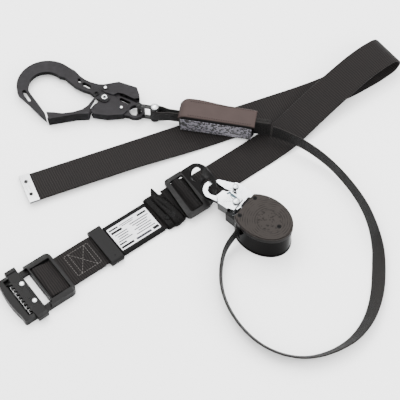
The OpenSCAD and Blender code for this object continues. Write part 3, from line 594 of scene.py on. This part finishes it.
def add_camera():
    """Looks down from the front at 57 degrees."""
    elevation, distance = math.radians(57), 1.9048
    target = Vector((-0.012, -0.036, 0))
    camera = add_object("camera", bpy.data.cameras.new("camera"))
    back = Vector((0, -math.cos(elevation), math.sin(elevation)))
    camera.location = target + back * distance
    aim(camera, -back)
    camera.data.lens, camera.data.sensor_width = 126, 36
    camera.data.clip_start, camera.data.clip_end = 0.1, 20
    bpy.context.scene.camera = camera


add_camera()

# ---------- waist belt ----------
BELT_W, BELT_T = 50, 2.4
BAR_Z, WRAP_R = 7.2, 4.1
SEWN_Z = 6.3


def on_belt(a, z):
    """A station on the buckle strand, a mm along it."""
    p = BELT.spot(a, 0)
    return [p.x, p.y, z, BELT.heading, 0]


def on_tip(s, tilt, z):
    """A station on the tip strand, which leans up from its lower edge at height z."""
    p = TIP.spot(s, 0)
    return [p.x, p.y, z + BELT_W / 2 * math.sin(math.radians(tilt)), TIP.heading, tilt]


UNDER_RUN = [on_belt(a, z) for a, z in ((52, 3.7), (20, 3.7), (-12, 3.6))]
BAR_WRAP = [on_belt(BAR_X + WRAP_R * math.cos(math.radians(-90 - 22.5 * i)),
                    BAR_Z + WRAP_R * math.sin(math.radians(-90 - 22.5 * i))) for i in range(9)]
UPPER_RUN = [on_belt(a, z) for a, z in (
    (-20, 9.6), (-10, 6.7), (-2, SEWN_Z), (10, SEWN_Z), (50, SEWN_Z), (60, 4.4), (70, 3.6),
    (79, 2.6), (168, 2.6), (181, 1.6), (300, 1.4), (330, 1.6), (350, 2.9), (366, 4.8))]
# [x, y, z, heading, tilt] round the loose fold at the upper right
LOOP_RUN = [
    [121, 84.5, 7.5, 42, 0], [141, 104.5, 11.5, 45, 0], [166, 128.5, 17, 43.5, 0],
    [191, 151.5, 22, 42.5, 0], [215, 173, 26, 41, 0], [235, 189, 28, 39, 0],
    [248, 199, 27.4, 38, 0], [257, 205.5, 23.5, 37, 0], [261, 208.5, 15, 37, 0],
    [257, 205.5, 6.8, 37, 0], [248, 199, 2.6, 37, 0], [233, 187.5, 1.7, 36, 0],
    [215, 175, 1.6, 34, 0], [199, 164.5, 1.6, 31, 0], [183, 155.5, 1.6, 28.5, 0],
    [168, 147.8, 1.6, 26, 0], [153, 140.7, 1.6, 24, 0], [138, 134, 1.6, 22.5, 0],
    [121, 126.9, 1.6, 22, 0]]
TIP_RUN = [on_tip(s, tilt, z) for s, tilt, z in (
    (370, 0, 1.5), (340, 0.8, 1.5), (300, 1, 1.5), (260, 1, 1.5), (225, 2.5, 1.5),
    (190, 5, 1.5), (150, 7, 1.6), (75, 7, 1.9), (4, 7, 2.1))]


def belt():
    """The waist belt in one run, from its end under the sleeve round the bar to the tip."""
    run = smooth_run(UNDER_RUN + BAR_WRAP + UPPER_RUN + LOOP_RUN + TIP_RUN, 0.66)
    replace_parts(ribbed("belt", run, BELT_W, BELT_T, WEBBING, rib=0.17, across=16), "belt_webbing")
    top = SEWN_Z + BELT_T / 2 - 0.02
    a0, a1, c = 13, 50, 17.5
    box = [straight(line, top) for line in (
        [(a0, -c), (a1, -c)], [(a1, -c), (a1, c)], [(a1, c), (a0, c)], [(a0, c), (a0, -c)],
        [(a0 + 6.5, -c), (a0 + 6.5, c)], [(a1 - 5.5, -c), (a1 - 5.5, c)],
        [(a0 + 6.5, -c), (a1 - 5.5, c)], [(a0 + 6.5, c), (a1 - 5.5, -c)])]
    stitches("belt_stitches", box, THREAD)


def label():
    """Vinyl sleeve round the belt, its window and a card that carries only grey bars."""
    a0, a1, centre, middle = 80.5, 147.5, 114, 2.6
    points = []
    sizes = ((52.4, 4.4, 1.6), (50.8, 2.8, 0.9))
    profile = [rounded_rect(w, h, r, 5) for w, h, r in sizes]
    size = len(profile[0])
    steps = 24
    along = [a0 + 0.3 + (a1 - a0 - 0.6) * k / steps for k in range(steps + 1)]
    ring = [(a0, 0.3)] + [(a, 0) for a in along] + [(a1, 0.3), (a1, 0.7)]
    ring += [(a, 1) for a in reversed(along)] + [(a0, 0.7)]
    for a, share in ring:
        for (c0, z0), (c1, z1) in zip(*profile):
            c = c0 * (1 - share) + c1 * share
            z = z0 * (1 - share) + z1 * share
            ripple = 0.12 * noise.noise(Vector((a * 0.09, c * 0.08, 1.0))) if share < 0.5 else 0
            points.append(BELT.at(a, c, middle + z + (ripple if z > 0 else 0)))
    sleeve = mesh_piece("label_pocket", points, tube_faces(len(ring), size, True), VINYL)
    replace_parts(sleeve, "label_sleeve")
    rim_points = []
    outer, inside = rounded_rect(66, 50, 2.4), rounded_rect(63.0, 39.0, 1.2)
    levels = [(outer, 4.55), (outer, 5.0), (rounded_rect(65.4, 49.4, 2.2), 5.25),
              (rounded_rect(63.8, 39.8, 1.4), 5.3), (inside, 5.1), (inside, 4.55)]
    for outline, z in levels:
        rim_points += [BELT.at(centre + x, y, z) for x, y in outline]
    mesh_piece("label_rim", rim_points, tube_faces(len(levels), len(outer), True), VINYL)
    seams = [straight([(centre - 31, y), (centre + 31, y)], 5.3) for y in (-22.5, 22.5)]
    stitches("label_stitches", seams, BLACK_THREAD, radius=0.3)
    card = plate("label_card_face", rounded_rect(63.4, 39.4, 1.4, cx=centre), BELT, 4.62, 4.97,
                 CARD, soften=0.12)
    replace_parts(card, "label_card")
    # bars: middle x, middle y, length, width, 1 where dark
    bars = [(-23, 15.4, 14, 2.6, 1), (-2, 15.6, 22, 1.2, 0), (-2, 13, 18, 1.2, 0),
            (22, 14.4, 14, 3, 1), (-21, 10.2, 17, 3.6, 1), (-24, -10.2, 11, 2.4, 1)]
    for k in range(6):
        y = 8.8 - k * 3.7
        if 0 < k < 5:
            bars.append((-18 + 0.8 * (k % 3), y, 22 - 2.4 * (k % 4), 1.5, 0))
        bars.append((14 - 0.9 * (k % 2), y, 30 - 3 * ((k * 2) % 5), 1.5, 0))
    bars += [(-20, -15.6, 20, 3.4, 1), (6, -15.6, 24, 3.4, 0), (25.6, -15.2, 9, 4.4, 1)]
    for shade, look in ((0, PRINT), (1, PRINT_DARK)):
        verts, faces = [], []
        for x, y, length, width, dark in bars:
            if dark != shade:
                continue
            start = len(verts)
            outline = rounded_rect(length, width, 0.35, 2, centre + x, y)
            verts += [BELT.at(p, q, z) for z in (4.9, 5.0) for p, q in outline]
            faces += [tuple(start + v for v in f) for f in tube_faces(2, len(outline))]
        mesh_piece("label_bars_%d" % shade, verts, faces, look, flat=True)


def leather_strip(name, stations, half_width, thick, crown):
    """A leather strip in the plane across the belt: stations (a, c, z), width along the belt."""
    points = []
    across = 8
    n = len(stations)
    for i, (a, c, z) in enumerate(stations):
        p, q = stations[max(i - 1, 0)], stations[min(i + 1, n - 1)]
        along = Vector((q[0] - p[0], q[1] - p[1], q[2] - p[2])).normalized()
        side = Vector((1, 0, 0)) - along * along.x
        side.normalize()
        normal = side.cross(along).normalized()
        half = half_width(i / (n - 1))
        ring = []
        for k in range(across + 1):
            u = -1 + 2 * k / across
            ring.append((u, 0.5 + crown * (1 - u * u) / thick - 0.32 * abs(u) ** 8))
        for k in range(across, -1, -1):
            u = -1 + 2 * k / across
            ring.append((u, -0.5 + 0.32 * abs(u) ** 8))
        for u, v in ring:
            crease = 0.25 * noise.noise(Vector((a * 0.2 + u, c * 0.14, z * 0.1)))
            rise = v * thick + (crease if v > 0 else 0)
            points.append(BELT.at(*(Vector((a, c, z)) + side * (half * u) + normal * rise)))
    return mesh_piece(name, points, tube_faces(n, 2 * (across + 1)), LEATHER)


def densify(points):
    """A smooth line through a few points, with one about every 1.2 mm."""
    return [tuple(r[:3]) for r in smooth_run([[*p, 0, 0] for p in points], 1.2)]


def hanger():
    """Leather band round the belt with two pointed tails fastened by snaps."""
    ring = []
    for c, z in ((-10, 0.75), (-24, 0.75), (-27.4, 1.4), (-28.6, 3.6), (-27.6, 6.2), (-24, 7.2),
                 (-10, 7.4), (0, 7.5), (12, 7.6), (23, 7.4), (27.4, 6.2), (28.6, 3.8), (27.4, 1.4),
                 (24, 0.75), (10, 0.75), (2, 0.8)):
        ring.append((158.5 - 0.05 * c, c, z))
    band = leather_strip("hanger_loop", densify(ring), lambda t: 8.2, 1.3, 0.7)
    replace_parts(band, "hanger_band")
    tail = [(167.5, -30, 3.4), (167.2, -29.3, 6.8), (166.9, -25, 9.2), (166.4, -12, 9.8),
            (165.6, 0, 10.0), (164.8, 10, 10.2), (164.6, 18, 10.2), (165.2, 24, 10.4),
            (166.0, 29, 11.6), (166.8, 33.5, 14.0)]

    def pointed(t):
        return 5.6 * min(1, (1.01 - t) / 0.2) ** 0.7 + 0.15

    leather_strip("hanger_tail_1", densify(tail), pointed, 1.5, 1.1)
    tail = [(173.6, -29, 4.4), (173.4, -28, 7.6), (173.0, -22, 9.0), (171.6, -8, 10.6),
            (169.6, 4, 11.4), (167.6, 14, 11.0), (165.8, 21, 9.8), (164.8, 25, 8.0)]
    leather_strip("hanger_tail_2", densify(tail),
                  lambda t: 5.2 * min(1, (1.05 - t) / 0.16) ** 0.6 + 0.2, 1.5, 1.3)
    edge = densify([(177.6, -22, 8.5), (176.2, -8, 10.0), (174.2, 4, 10.8), (172.2, 14, 10.4),
                    (170.2, 21, 9.2)])
    stitches("hanger_stitches", [([BELT.spot(*q) for q in edge], [Vector((0, 0, 1))] * len(edge))],
             THREAD, length=1.8, space=1.4, radius=0.3)
    stud = [(0.01, 0), (3.6, 0), (4, 0.35), (4, 0.7), (3.5, 1.1), (2.6, 1.15), (2.2, 0.85),
            (0.8, 0.85), (0.01, 0.8)]
    first = lathe("hanger_snap_1", stud, BELT.at(159, -14, 8.6), SCREW)
    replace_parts(first, "hanger_snaps")
    lathe("hanger_snap_2", stud, BELT.at(166.2, -16, 10.9), SCREW)


# ---------- webbing in the slot of the eye plate ----------
def ring_set():
    """Webbing that lies along the belt and stands up in the plate's slot."""
    run = smooth_run([on_belt(a, z) for a, z in (
        (177, 4.6), (184, 4.6), (190, 4.9), (194.4, 6.2), (197.3, 8.8), (199.6, 10.9),
        (202.5, 11.7), (205.2, 10.8), (207.2, 8.6), (209.6, 6.4), (214, 4.8), (220, 4.6),
        (226, 4.6))], 0.6)
    fold = ribbed("slot_fold", run, 55.2, 2.0, FOLD, rib=0.08, across=16, sway=0.3)
    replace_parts(fold, "ring_webbing")


# ---------- lanyard ----------
LANYARD_W, LANYARD_T = 20, 2
# [x, y, direction of travel, lean from upright, height of the lower edge]
LANYARD_ROUTE = [
    [38, -99.5, 233, 0, 12], [31, -108, 232, 0, 8.5], [24.5, -116.5, 238, 2, 4.5],
    [20, -126, 250, 4, 1.6], [17, -139, 262, 6, 0.3], [15.3, -156, 270, 9, 0],
    [16, -174, 277, 13, 0], [20, -193, 286, 17, 0], [27, -211.5, 295, 21, 0],
    [37.5, -230, 305, 24, 0], [51, -247, 316, 27, 0], [67.5, -261.5, 327, 29, 0],
    [87, -272, 339, 31, 0], [104, -277, 350, 32, 0], [122, -278.5, 2, 33, 0],
    [147, -273.5, 17, 35, 0], [168, -263.5, 30, 38, 0], [183, -252.5, 41, 42, 0],
    [195, -239, 52, 46, 0], [205.5, -222, 63, 50, 0], [213.5, -202, 72, 54, 0],
    [219, -180, 79, 58, 0], [222, -157, 85, 59, 0], [223.5, -136, 88, 55, 0],
    [223.6, -119, 91, 44, 0], [222.3, -104.3, 96, 35, 0], [219.8, -88.5, 101, 26, 0],
    [211.1, -56.6, 109, 15, 0], [198.6, -29.6, 119, 8, 0.2], [184.3, -7, 126, 5, 1.2],
    [166, 15.1, 134, 3, 3.6], [147.3, 31.3, 143, 3, 7], [130, 43, 149, 3, 9.8],
    [114, 52, 152, 4, 10.8], [100, 59.5, 155, 7, 10.3], [89, 64.5, 158, 10, 9.7]]


def lanyard():
    """The lanyard from the reel's outlet to the shock absorber."""
    stations = []
    for x, y, heading, lean, low in LANYARD_ROUTE:
        angle = math.radians(lean)
        height = low + LANYARD_W / 2 * math.cos(angle) + LANYARD_T / 2 * math.sin(angle) + 0.2
        stations.append([x, y, height, heading, 90 - lean])
    run = smooth_run(stations, 0.55)
    piece = ribbed("lanyard", run, LANYARD_W, LANYARD_T, LANYARD, rib=0.08, pitch=1.7, skew=0.6,
                   across=12)
    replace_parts(piece, "lanyard_webbing")


# ---------- shock absorber ----------
PACK_L, PACK_H, PACK_Z = 106, 29, 5


def pouch(name, low, high, look, end, wrinkle, top):
    """A soft closed form between two corners: ends drawn in, faces crowned and wrinkled."""
    (x0, y0, z0), (x1, y1, z1) = low, high
    rings, size, fullness, corner = 56, 64, 0.8, 2 / 7
    points = []
    cy, cz = (y0 + y1) / 2, (z0 + z1) / 2
    hy, hz = (y1 - y0) / 2, (z1 - z0) / 2
    for i in range(rings):
        t = i / (rings - 1)
        x = x0 + (x1 - x0) * (0.5 - 0.5 * math.cos(math.pi * t))
        edge = min(x - x0, x1 - x)
        draw = 1.0 if edge >= end else 1 - (1 - math.sqrt(max(0, 1 - (1 - edge / end) ** 2))) * 0.35
        for k in range(size):
            a = math.tau * (k + 0.5) / size
            y = math.copysign(abs(math.cos(a)) ** corner, math.cos(a))
            z = math.copysign(abs(math.sin(a)) ** corner, math.sin(a))
            crown = fullness * (1 - min(1, abs(2 * t - 1)) ** 4)
            yy = cy + y * (hy - fullness + crown * (1 - z * z)) * draw
            zz = cz + z * (hz - fullness + crown * (1 - y * y)) * draw
            if zz > cz:
                zz = cz + (zz - cz) * top(x)
            f = noise.noise(Vector((x * 0.07, yy * 0.1, zz * 0.1)))
            g = noise.noise(Vector((x * 0.25, yy * 0.2, zz * 0.25 + 5)))
            swell = wrinkle * (f + 0.35 * g)
            d = Vector((0, y, z)).normalized() * swell
            points.append(PACK.at(x, min(max(yy + d.y, y0), y1), min(max(zz + d.z, z0), z1)))
    return mesh_piece(name, points, tube_faces(rings, size), look)


def absorber():
    """Shock absorber: pouch, flap, speckled cloth label, inner folds and its two sewn ends."""
    body = pouch("absorber_pouch", (0, -14.6, 4.2), (PACK_L, 16.3, 33.2), VINYL, end=7,
                 wrinkle=0.3, top=lambda x: 1 - 0.22 * max(0, (14 - x) / 14) ** 2)
    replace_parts(body, "absorber_cover")
    flap()
    cloth = []
    nx, nz = 40, 12
    for j in range(nz + 1):
        for i in range(nx + 1):
            x = 3.2 + (PACK_L - 6.0) * i / nx
            z = 5.4 + 24.2 * j / nz
            bow = 0.5 * (1 - (2 * i / nx - 1) ** 4) * (1 - (2 * j / nz - 1) ** 2)
            y = -14.9 - bow - 0.2 * noise.noise(Vector((x * 0.12, z * 0.1, 2)))
            cloth.append(PACK.at(x, y, z))
    front = len(cloth)
    cloth += [p + (PACK.turn @ Vector((0, 0.6, 0))) * MM for p in cloth]
    faces = []
    w = nx + 1
    for j in range(nz):
        for i in range(nx):
            a = j * w + i
            faces.append((a, a + 1, a + 1 + w, a + w))
            faces.append((front + a, front + a + w, front + a + 1 + w, front + a + 1))
    rim = list(range(w)) + [j * w + nx for j in range(1, nz + 1)]
    rim += [nz * w + i for i in range(nx - 1, -1, -1)] + [j * w for j in range(nz - 1, 0, -1)]
    for a, b in zip(rim, rim[1:] + rim[:1]):
        faces.append((a, front + a, front + b, b))
    cloth_piece = mesh_piece("absorber_cloth_label", cloth, faces, SPECKLED)
    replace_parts(cloth_piece, "absorber_label")
    lines = []
    for z in (6.2, 28.9):
        pts = [PACK.spot(4.5 + (PACK_L - 8.5) * k / 24, -15.4, z) for k in range(25)]
        lines.append((pts, [PACK.turn @ Vector((0, -1, 0))] * 25))
    stitches("absorber_label_stitches", lines, BLACK_THREAD, radius=0.28, length=2.4)
    core()
    webbing_end()
    front_loop()


def flap():
    """The pack's lid: a thick sheet over the top that hangs a little over front and back."""
    nx = 48
    profile = [(-12.3, 32.4), (-12.2, 33.4), (-11.4, 34.3), (-10, 34.8), (-8, 35.0), (0, 35.2),
               (8, 35.2), (15.5, 34.6), (17.2, 33.4), (17.8, 31.2), (17.6, 27.5)]
    fine = []
    for a, b in zip(profile, profile[1:]):
        fine += [(a[0] + (b[0] - a[0]) * k / 4, a[1] + (b[1] - a[1]) * k / 4) for k in range(4)]
    fine.append(profile[-1])
    points = []
    thick = 1.3
    size = len(fine)
    for i in range(nx + 1):
        t = i / nx
        x = -1.6 + (PACK_L + 2.6) * t
        droop = 8.5 * max(0, (11 - x) / 12.6) ** 2.4 + 1.2 * max(0, (x - 96) / 10) ** 2
        pinch = 1 - 0.10 * max(0, (8 - x) / 9.6) ** 2
        for layer in (0, 1):
            order = range(size) if layer == 0 else range(size - 1, -1, -1)
            for k in order:
                y, z = fine[k]
                y *= 1 + (0.2 * math.exp(-(((x - 22) / 30) ** 2)) if y > 0 else 0)
                p, q = fine[max(k - 1, 0)], fine[min(k + 1, size - 1)]
                n = Vector((0, -(q[1] - p[1]), q[0] - p[0])).normalized()
                lump = 0.28 * noise.noise(Vector((x * 0.06, y * 0.09, 4))) if z > 33 else 0
                z2 = z - droop * (1 if z > 30 else 0.8) + lump - 1.6 * t
                y2 = y * pinch
                inset = thick if layer else 0
                points.append(PACK.at(x, y2 - n.y * inset, z2 - n.z * inset))
    mesh_piece("absorber_flap", points, tube_faces(nx + 1, 2 * size), COVER)
    hem = []
    for y in (-9.6, 14.6):
        pts = [PACK.spot(12 + (PACK_L - 16) * k / 29, y, 34.85 - 1.6 * k / 29) for k in range(30)]
        hem.append((pts, [Vector((0, 0, 1))] * 30))
    stitches("absorber_flap_stitches", hem, BLACK_THREAD, radius=0.25, length=2.2)


def along_pack(x0, x1, y, z, tilt, count):
    """A straight run of webbing along the pack."""
    a, b = PACK.spot(x0, y), PACK.spot(x1, y)
    points = [a.lerp(b, k / (count - 1)) for k in range(count)]
    return [[p.x, p.y, z, PACK.heading, tilt] for p in points]


def core():
    """Folded tear webbing inside the pack."""
    first = None
    for i in range(-2, 3):
        run = along_pack(8, PACK_L - 8, i * 4.6, PACK_Z + PACK_H / 2, 90, 30)
        piece = ribbed("absorber_fold_%d" % (i + 2), run, 20, 3.6, CORE, rib=0.1, across=8)
        first = first or piece
    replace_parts(first, "absorber_core")


def webbing_end():
    """The lanyard's folded and sewn end, four layers thick."""
    first = None
    layers = ((-3, 24.6, 0.2), (-1, 24.2, -0.2), (1, 23.8, 0.1), (3, 24.6, 0))
    for i, (y, length, rise) in enumerate(layers):
        run = along_pack(PACK_L - 2, PACK_L - 2.2 + length, y, PACK_Z + 14.5 + rise, 100, 44)
        piece = ribbed("absorber_end_%d" % i, run, 22.5, 1.95, LANYARD, rib=0.08, pitch=1.7,
                       skew=0.6, across=10)
        first = first or piece
    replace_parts(first, "absorber_stub")
    lines = []
    for x in (PACK_L + 5, PACK_L + 9, PACK_L + 13, PACK_L + 17):
        pts = [PACK.spot(x, -5.6 + 2.9 * k / 8, PACK_Z + 6.5 + 16 * k / 8) for k in range(9)]
        lines.append((pts, [PACK.turn @ Vector((0, -0.93, 0.37))] * 9))
    stitches("absorber_end_stitches", lines, BLACK_THREAD, radius=0.3, length=2.2)


def on_edge(place, path, z):
    """Run of webbing that stands on edge along a path (x, y) of a place, its middle at z."""
    stations = []
    for i, (x, y) in enumerate(path):
        a, b = path[max(i - 1, 0)], path[min(i + 1, len(path) - 1)]
        heading = math.degrees(math.atan2(b[1] - a[1], b[0] - a[0]))
        p = place.spot(x, y)
        stations.append([p.x, p.y, z, heading + place.heading, 90])
    return smooth_run(stations, 0.6)


def front_loop():
    """Sewn webbing loop from the pack round the link pin."""
    path = [(5, -2.6), (-8, -2.6), (-17, -2.9), (-24, -4.6), (-30, -5.5)]
    wrap = 5.45
    path += [(PIN_X + wrap * math.cos(math.radians(a)), wrap * math.sin(math.radians(a)))
             for a in (-90, -125, -160, 160, 125, 90)]
    path += [(-30, 5.5), (-24, 4.6), (-17, 2.9), (-8, 2.6), (5, 2.6)]
    piece = ribbed("absorber_loop", on_edge(PACK, path, 16), 18.8, 2.3, LANYARD, rib=0.1,
                   pitch=2.1, skew=0.3, across=12)
    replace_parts(piece, "front_strap")


# ---------- reel ----------
def reel_inside():
    """Webbing inside the reel: the coil on the drum and the lead to the outlet."""
    centre = REEL.spot(SHAFT_X, 0)
    middle, turns, r0, r1 = 22, 6, 9.9, 20.6
    run = []
    steps = turns * 48
    for k in range(steps + 1):
        t = k / steps
        a = math.tau * turns * t
        r = r0 + (r1 - r0) * t
        run.append([centre.x + r * math.cos(a), centre.y + r * math.sin(a), middle,
                    math.degrees(a) + 90, 90])
    piece = ribbed("drum_coil", run, 20, 1.6, LANYARD, "drum", rib=0.06, pitch=1.7, across=6)
    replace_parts(piece, "drum_webbing")
    path = [(40, -22.6), (28, -22.7), (20, -22.4), (14.5, -21.9), (11.2, -22.6), (9.5, -24.4),
            (9.05, -26.7)]
    lead = ribbed("lead", on_edge(REEL, path, middle), 20, 1.6, LANYARD, rib=0.06, pitch=1.7,
                  across=8)
    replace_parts(lead, "lead_webbing")


# ---------- rivets and screws ----------
def dome(r, h, z, shank=0.0):
    """Profile of a domed head of radius r and height h on top of height z."""
    low = [(0.01, z - shank), (max(r * 0.55, 0.01), z - shank)] if shank else [(0.01, z)]
    rim = [(r * 0.96, z), (r, z + h * 0.12)]
    cap = [(r * math.cos(math.radians(a)), z + h * (0.15 + 0.85 * math.sin(math.radians(a))))
           for a in (12, 25, 40, 55, 70, 82)]
    return low + ([(r * 0.55, z)] if shank else []) + rim + cap + [(0.01, z + h)]


def rivets():
    """Domed heads on the CAD rivets, and a dark sheet of painted shade for the snap lever's window.
    """
    heads = [lathe("slider_rivet_%d" % i, dome(3.6, 1.9, 10.3, 5.2), BELT.at(-53.4, c), BRIGHT,
                   "slider") for i, c in enumerate((-15.3, 15.3))]
    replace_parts(heads[0], "slider_rivets")
    snap_z = 16.2
    lathe("snap_pivot_head", dome(3.95, 1.3, snap_z + 13.5), REEL.at(-32.5, 24.5), ZINC)
    lathe("snap_lever_head", dome(4.95, 1.6, snap_z + 15.9), REEL.at(-17, 4.8), ZINC)
    lathe("link_pin_head", dome(5.4, 3.2, 28.4), PACK.at(PIN_X, 0), BRIGHT)
    cheek_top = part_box("hook_cheeks")[1].z / MM
    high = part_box("hook_rivets")[1].z / MM
    lathe("lower_hook_rivet_head", dome(2.3, 1.1, cheek_top + 0.95), HOOK.at(27.5, -9.5), BRIGHT,
          "hook")
    lathe("small_hook_rivet_head", dome(2.4, 1.1, high - 0.05), HOOK.at(-3.5, 17), BRIGHT, "hook")
    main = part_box("gate_rivet")[1].z / MM
    collar = [(r, main + rise) for r, rise in (
        (1.8, -0.4), (2.7, -0.4), (3.6, -0.3), (4.0, 0), (4.05, 0.4), (3.8, 0.8), (3.1, 1.0),
        (2.5, 0.8), (2.1, 0.4), (1.8, 0))]
    lathe("main_hook_rivet_ring", collar, HOOK.at(0, 0), BRIGHT, "hook", ring=True)
    # Painted shade: the lever's window is no hole but a thin dark sheet laid on the lever.
    cut = [(-35.4, 7.8), (-33.5, 7.1), (-31.3, 10.2), (-28.6, 7.8), (-20.4, 8.6), (-19.7, 11.5),
           (-29.0, 11.9), (-33.6, 13.4)]
    plate("snap_lever_window", cut, REEL, snap_z + 14.0, snap_z + 14.06, WINDOW_SHADE, "snap_lever")
    lathe("link_bolt_head", dome(4.2, 1.4, 28.2), PACK.at(-58.4, 0), DARK_STEEL, "link")


# look, width of the rounded edges, steps across them, nodes
FINISHES = (
    (BLACK_PAINT, 0.8, 3, "buckle_frame buckle_slider"), (DARK_STEEL, 0.3, 2, "belt_bar"),
    (BRIGHT, 0.35, 2, "belt_tip"), (DARK_STEEL, 0.25, 2, "tip_rivets"),
    (KEEPER, 0.9, 3, "belt_keeper"), (BLACK_PAINT, 1.1, 3, "d_ring_plate"),
    (ZINC, 0.4, 2, "snap_body snap_gate snap_lever"), (ZINC, 0.25, 2, "snap_rivets"),
    (SPRING, 0, 2, "snap_spring"), (SCREW, 0.4, 2, "reel_bracket"),
    (SCREW, 0.2, 2, "bracket_bolts"), (CASE, 0.8, 3, "reel_case"), (LID, 0.5, 3, "reel_lid"),
    (SCREW, 0.15, 2, "reel_screws"), (DARK_STEEL, 0, 2, "bearing_plate"),
    (ZINC, 0.15, 2, "drum_shaft ratchet_wheel lock_pawl pawl_pin"), (BRONZE, 0, 2, "drum_bush"),
    (NYLON, 0.2, 2, "drum"), (SPRING, 0, 2, "power_spring pawl_spring"),
    (SCREW, 0, 2, "gate_spring lever_spring"), (GUIDE, 0.3, 2, "web_guide"),
    (BRIGHT, 0.2, 2, "link_pin"), (DARK_STEEL, 0.5, 2, "swivel_link"),
    (GREY_PAINT, 0.45, 2, "hook_frame hook_cheeks hook_gate hook_lever"),
    (BLACK_PAINT, 0.2, 2, "hook_rivets"), (GREY_PAINT, 0.3, 2, "gate_rivet"))


def dress_cad():
    """Finish and rounded edges of every CAD node that stays."""
    for look, bevel, segments, nodes in FINISHES:
        for node in nodes.split():
            dress(node, look, bevel, segments)


# ---------- floor and light ----------
def stage():
    """Pale floor, a sky that brightens upwards, and four soft lights."""
    half = 6
    mesh = bpy.data.meshes.new("floor")
    mesh.from_pydata([(-half, -half, 0), (half, -half, 0), (half, half, 0), (-half, half, 0)], [],
                     [(0, 1, 2, 3)])
    look = Look("floor", Base_Color=(0.93, 0.93, 0.93), Roughness=0.9, Specular_IOR_Level=0.1)
    mesh.materials.append(look.material)
    floor = add_object("floor", mesh)
    floor.location.z = -0.0004
    world = bpy.data.worlds.new("world")
    world.use_nodes = True
    tree = world.node_tree
    background = tree.nodes["Background"]
    direction = tree.nodes.new("ShaderNodeTexCoord").outputs["Generated"]
    split = tree.nodes.new("ShaderNodeSeparateXYZ")
    tree.links.new(direction, split.inputs[0])
    rise = tree.nodes.new("ShaderNodeMapRange")
    for socket, value in (("From Min", 0.0), ("From Max", 1.0), ("To Min", 0.5), ("To Max", 4.4)):
        rise.inputs[socket].default_value = value
    tree.links.new(split.outputs[2], rise.inputs["Value"])
    tree.links.new(rise.outputs[0], background.inputs[1])
    background.inputs[0].default_value = (1.0, 1.0, 1.0, 1)
    bpy.context.scene.world = world
    for name, place, energy, size in (
            ("key", (-0.5, 0.6, 1.5), 22, 1.0), ("right", (1.3, -0.3, 0.7), 10, 0.5),
            ("fill", (0.2, -1.2, 1.4), 6, 1.2), ("glint", (0.1, 1.1, 1.25), 7, 0.22)):
        data = bpy.data.lights.new(name, "AREA")
        data.energy, data.size = energy, size
        light = add_object(name, data)
        light.location = place
        aim(light, -Vector(place))


lanyard()
belt()
label()
hanger()
ring_set()
absorber()
reel_inside()
rivets()
dress_cad()
stage()
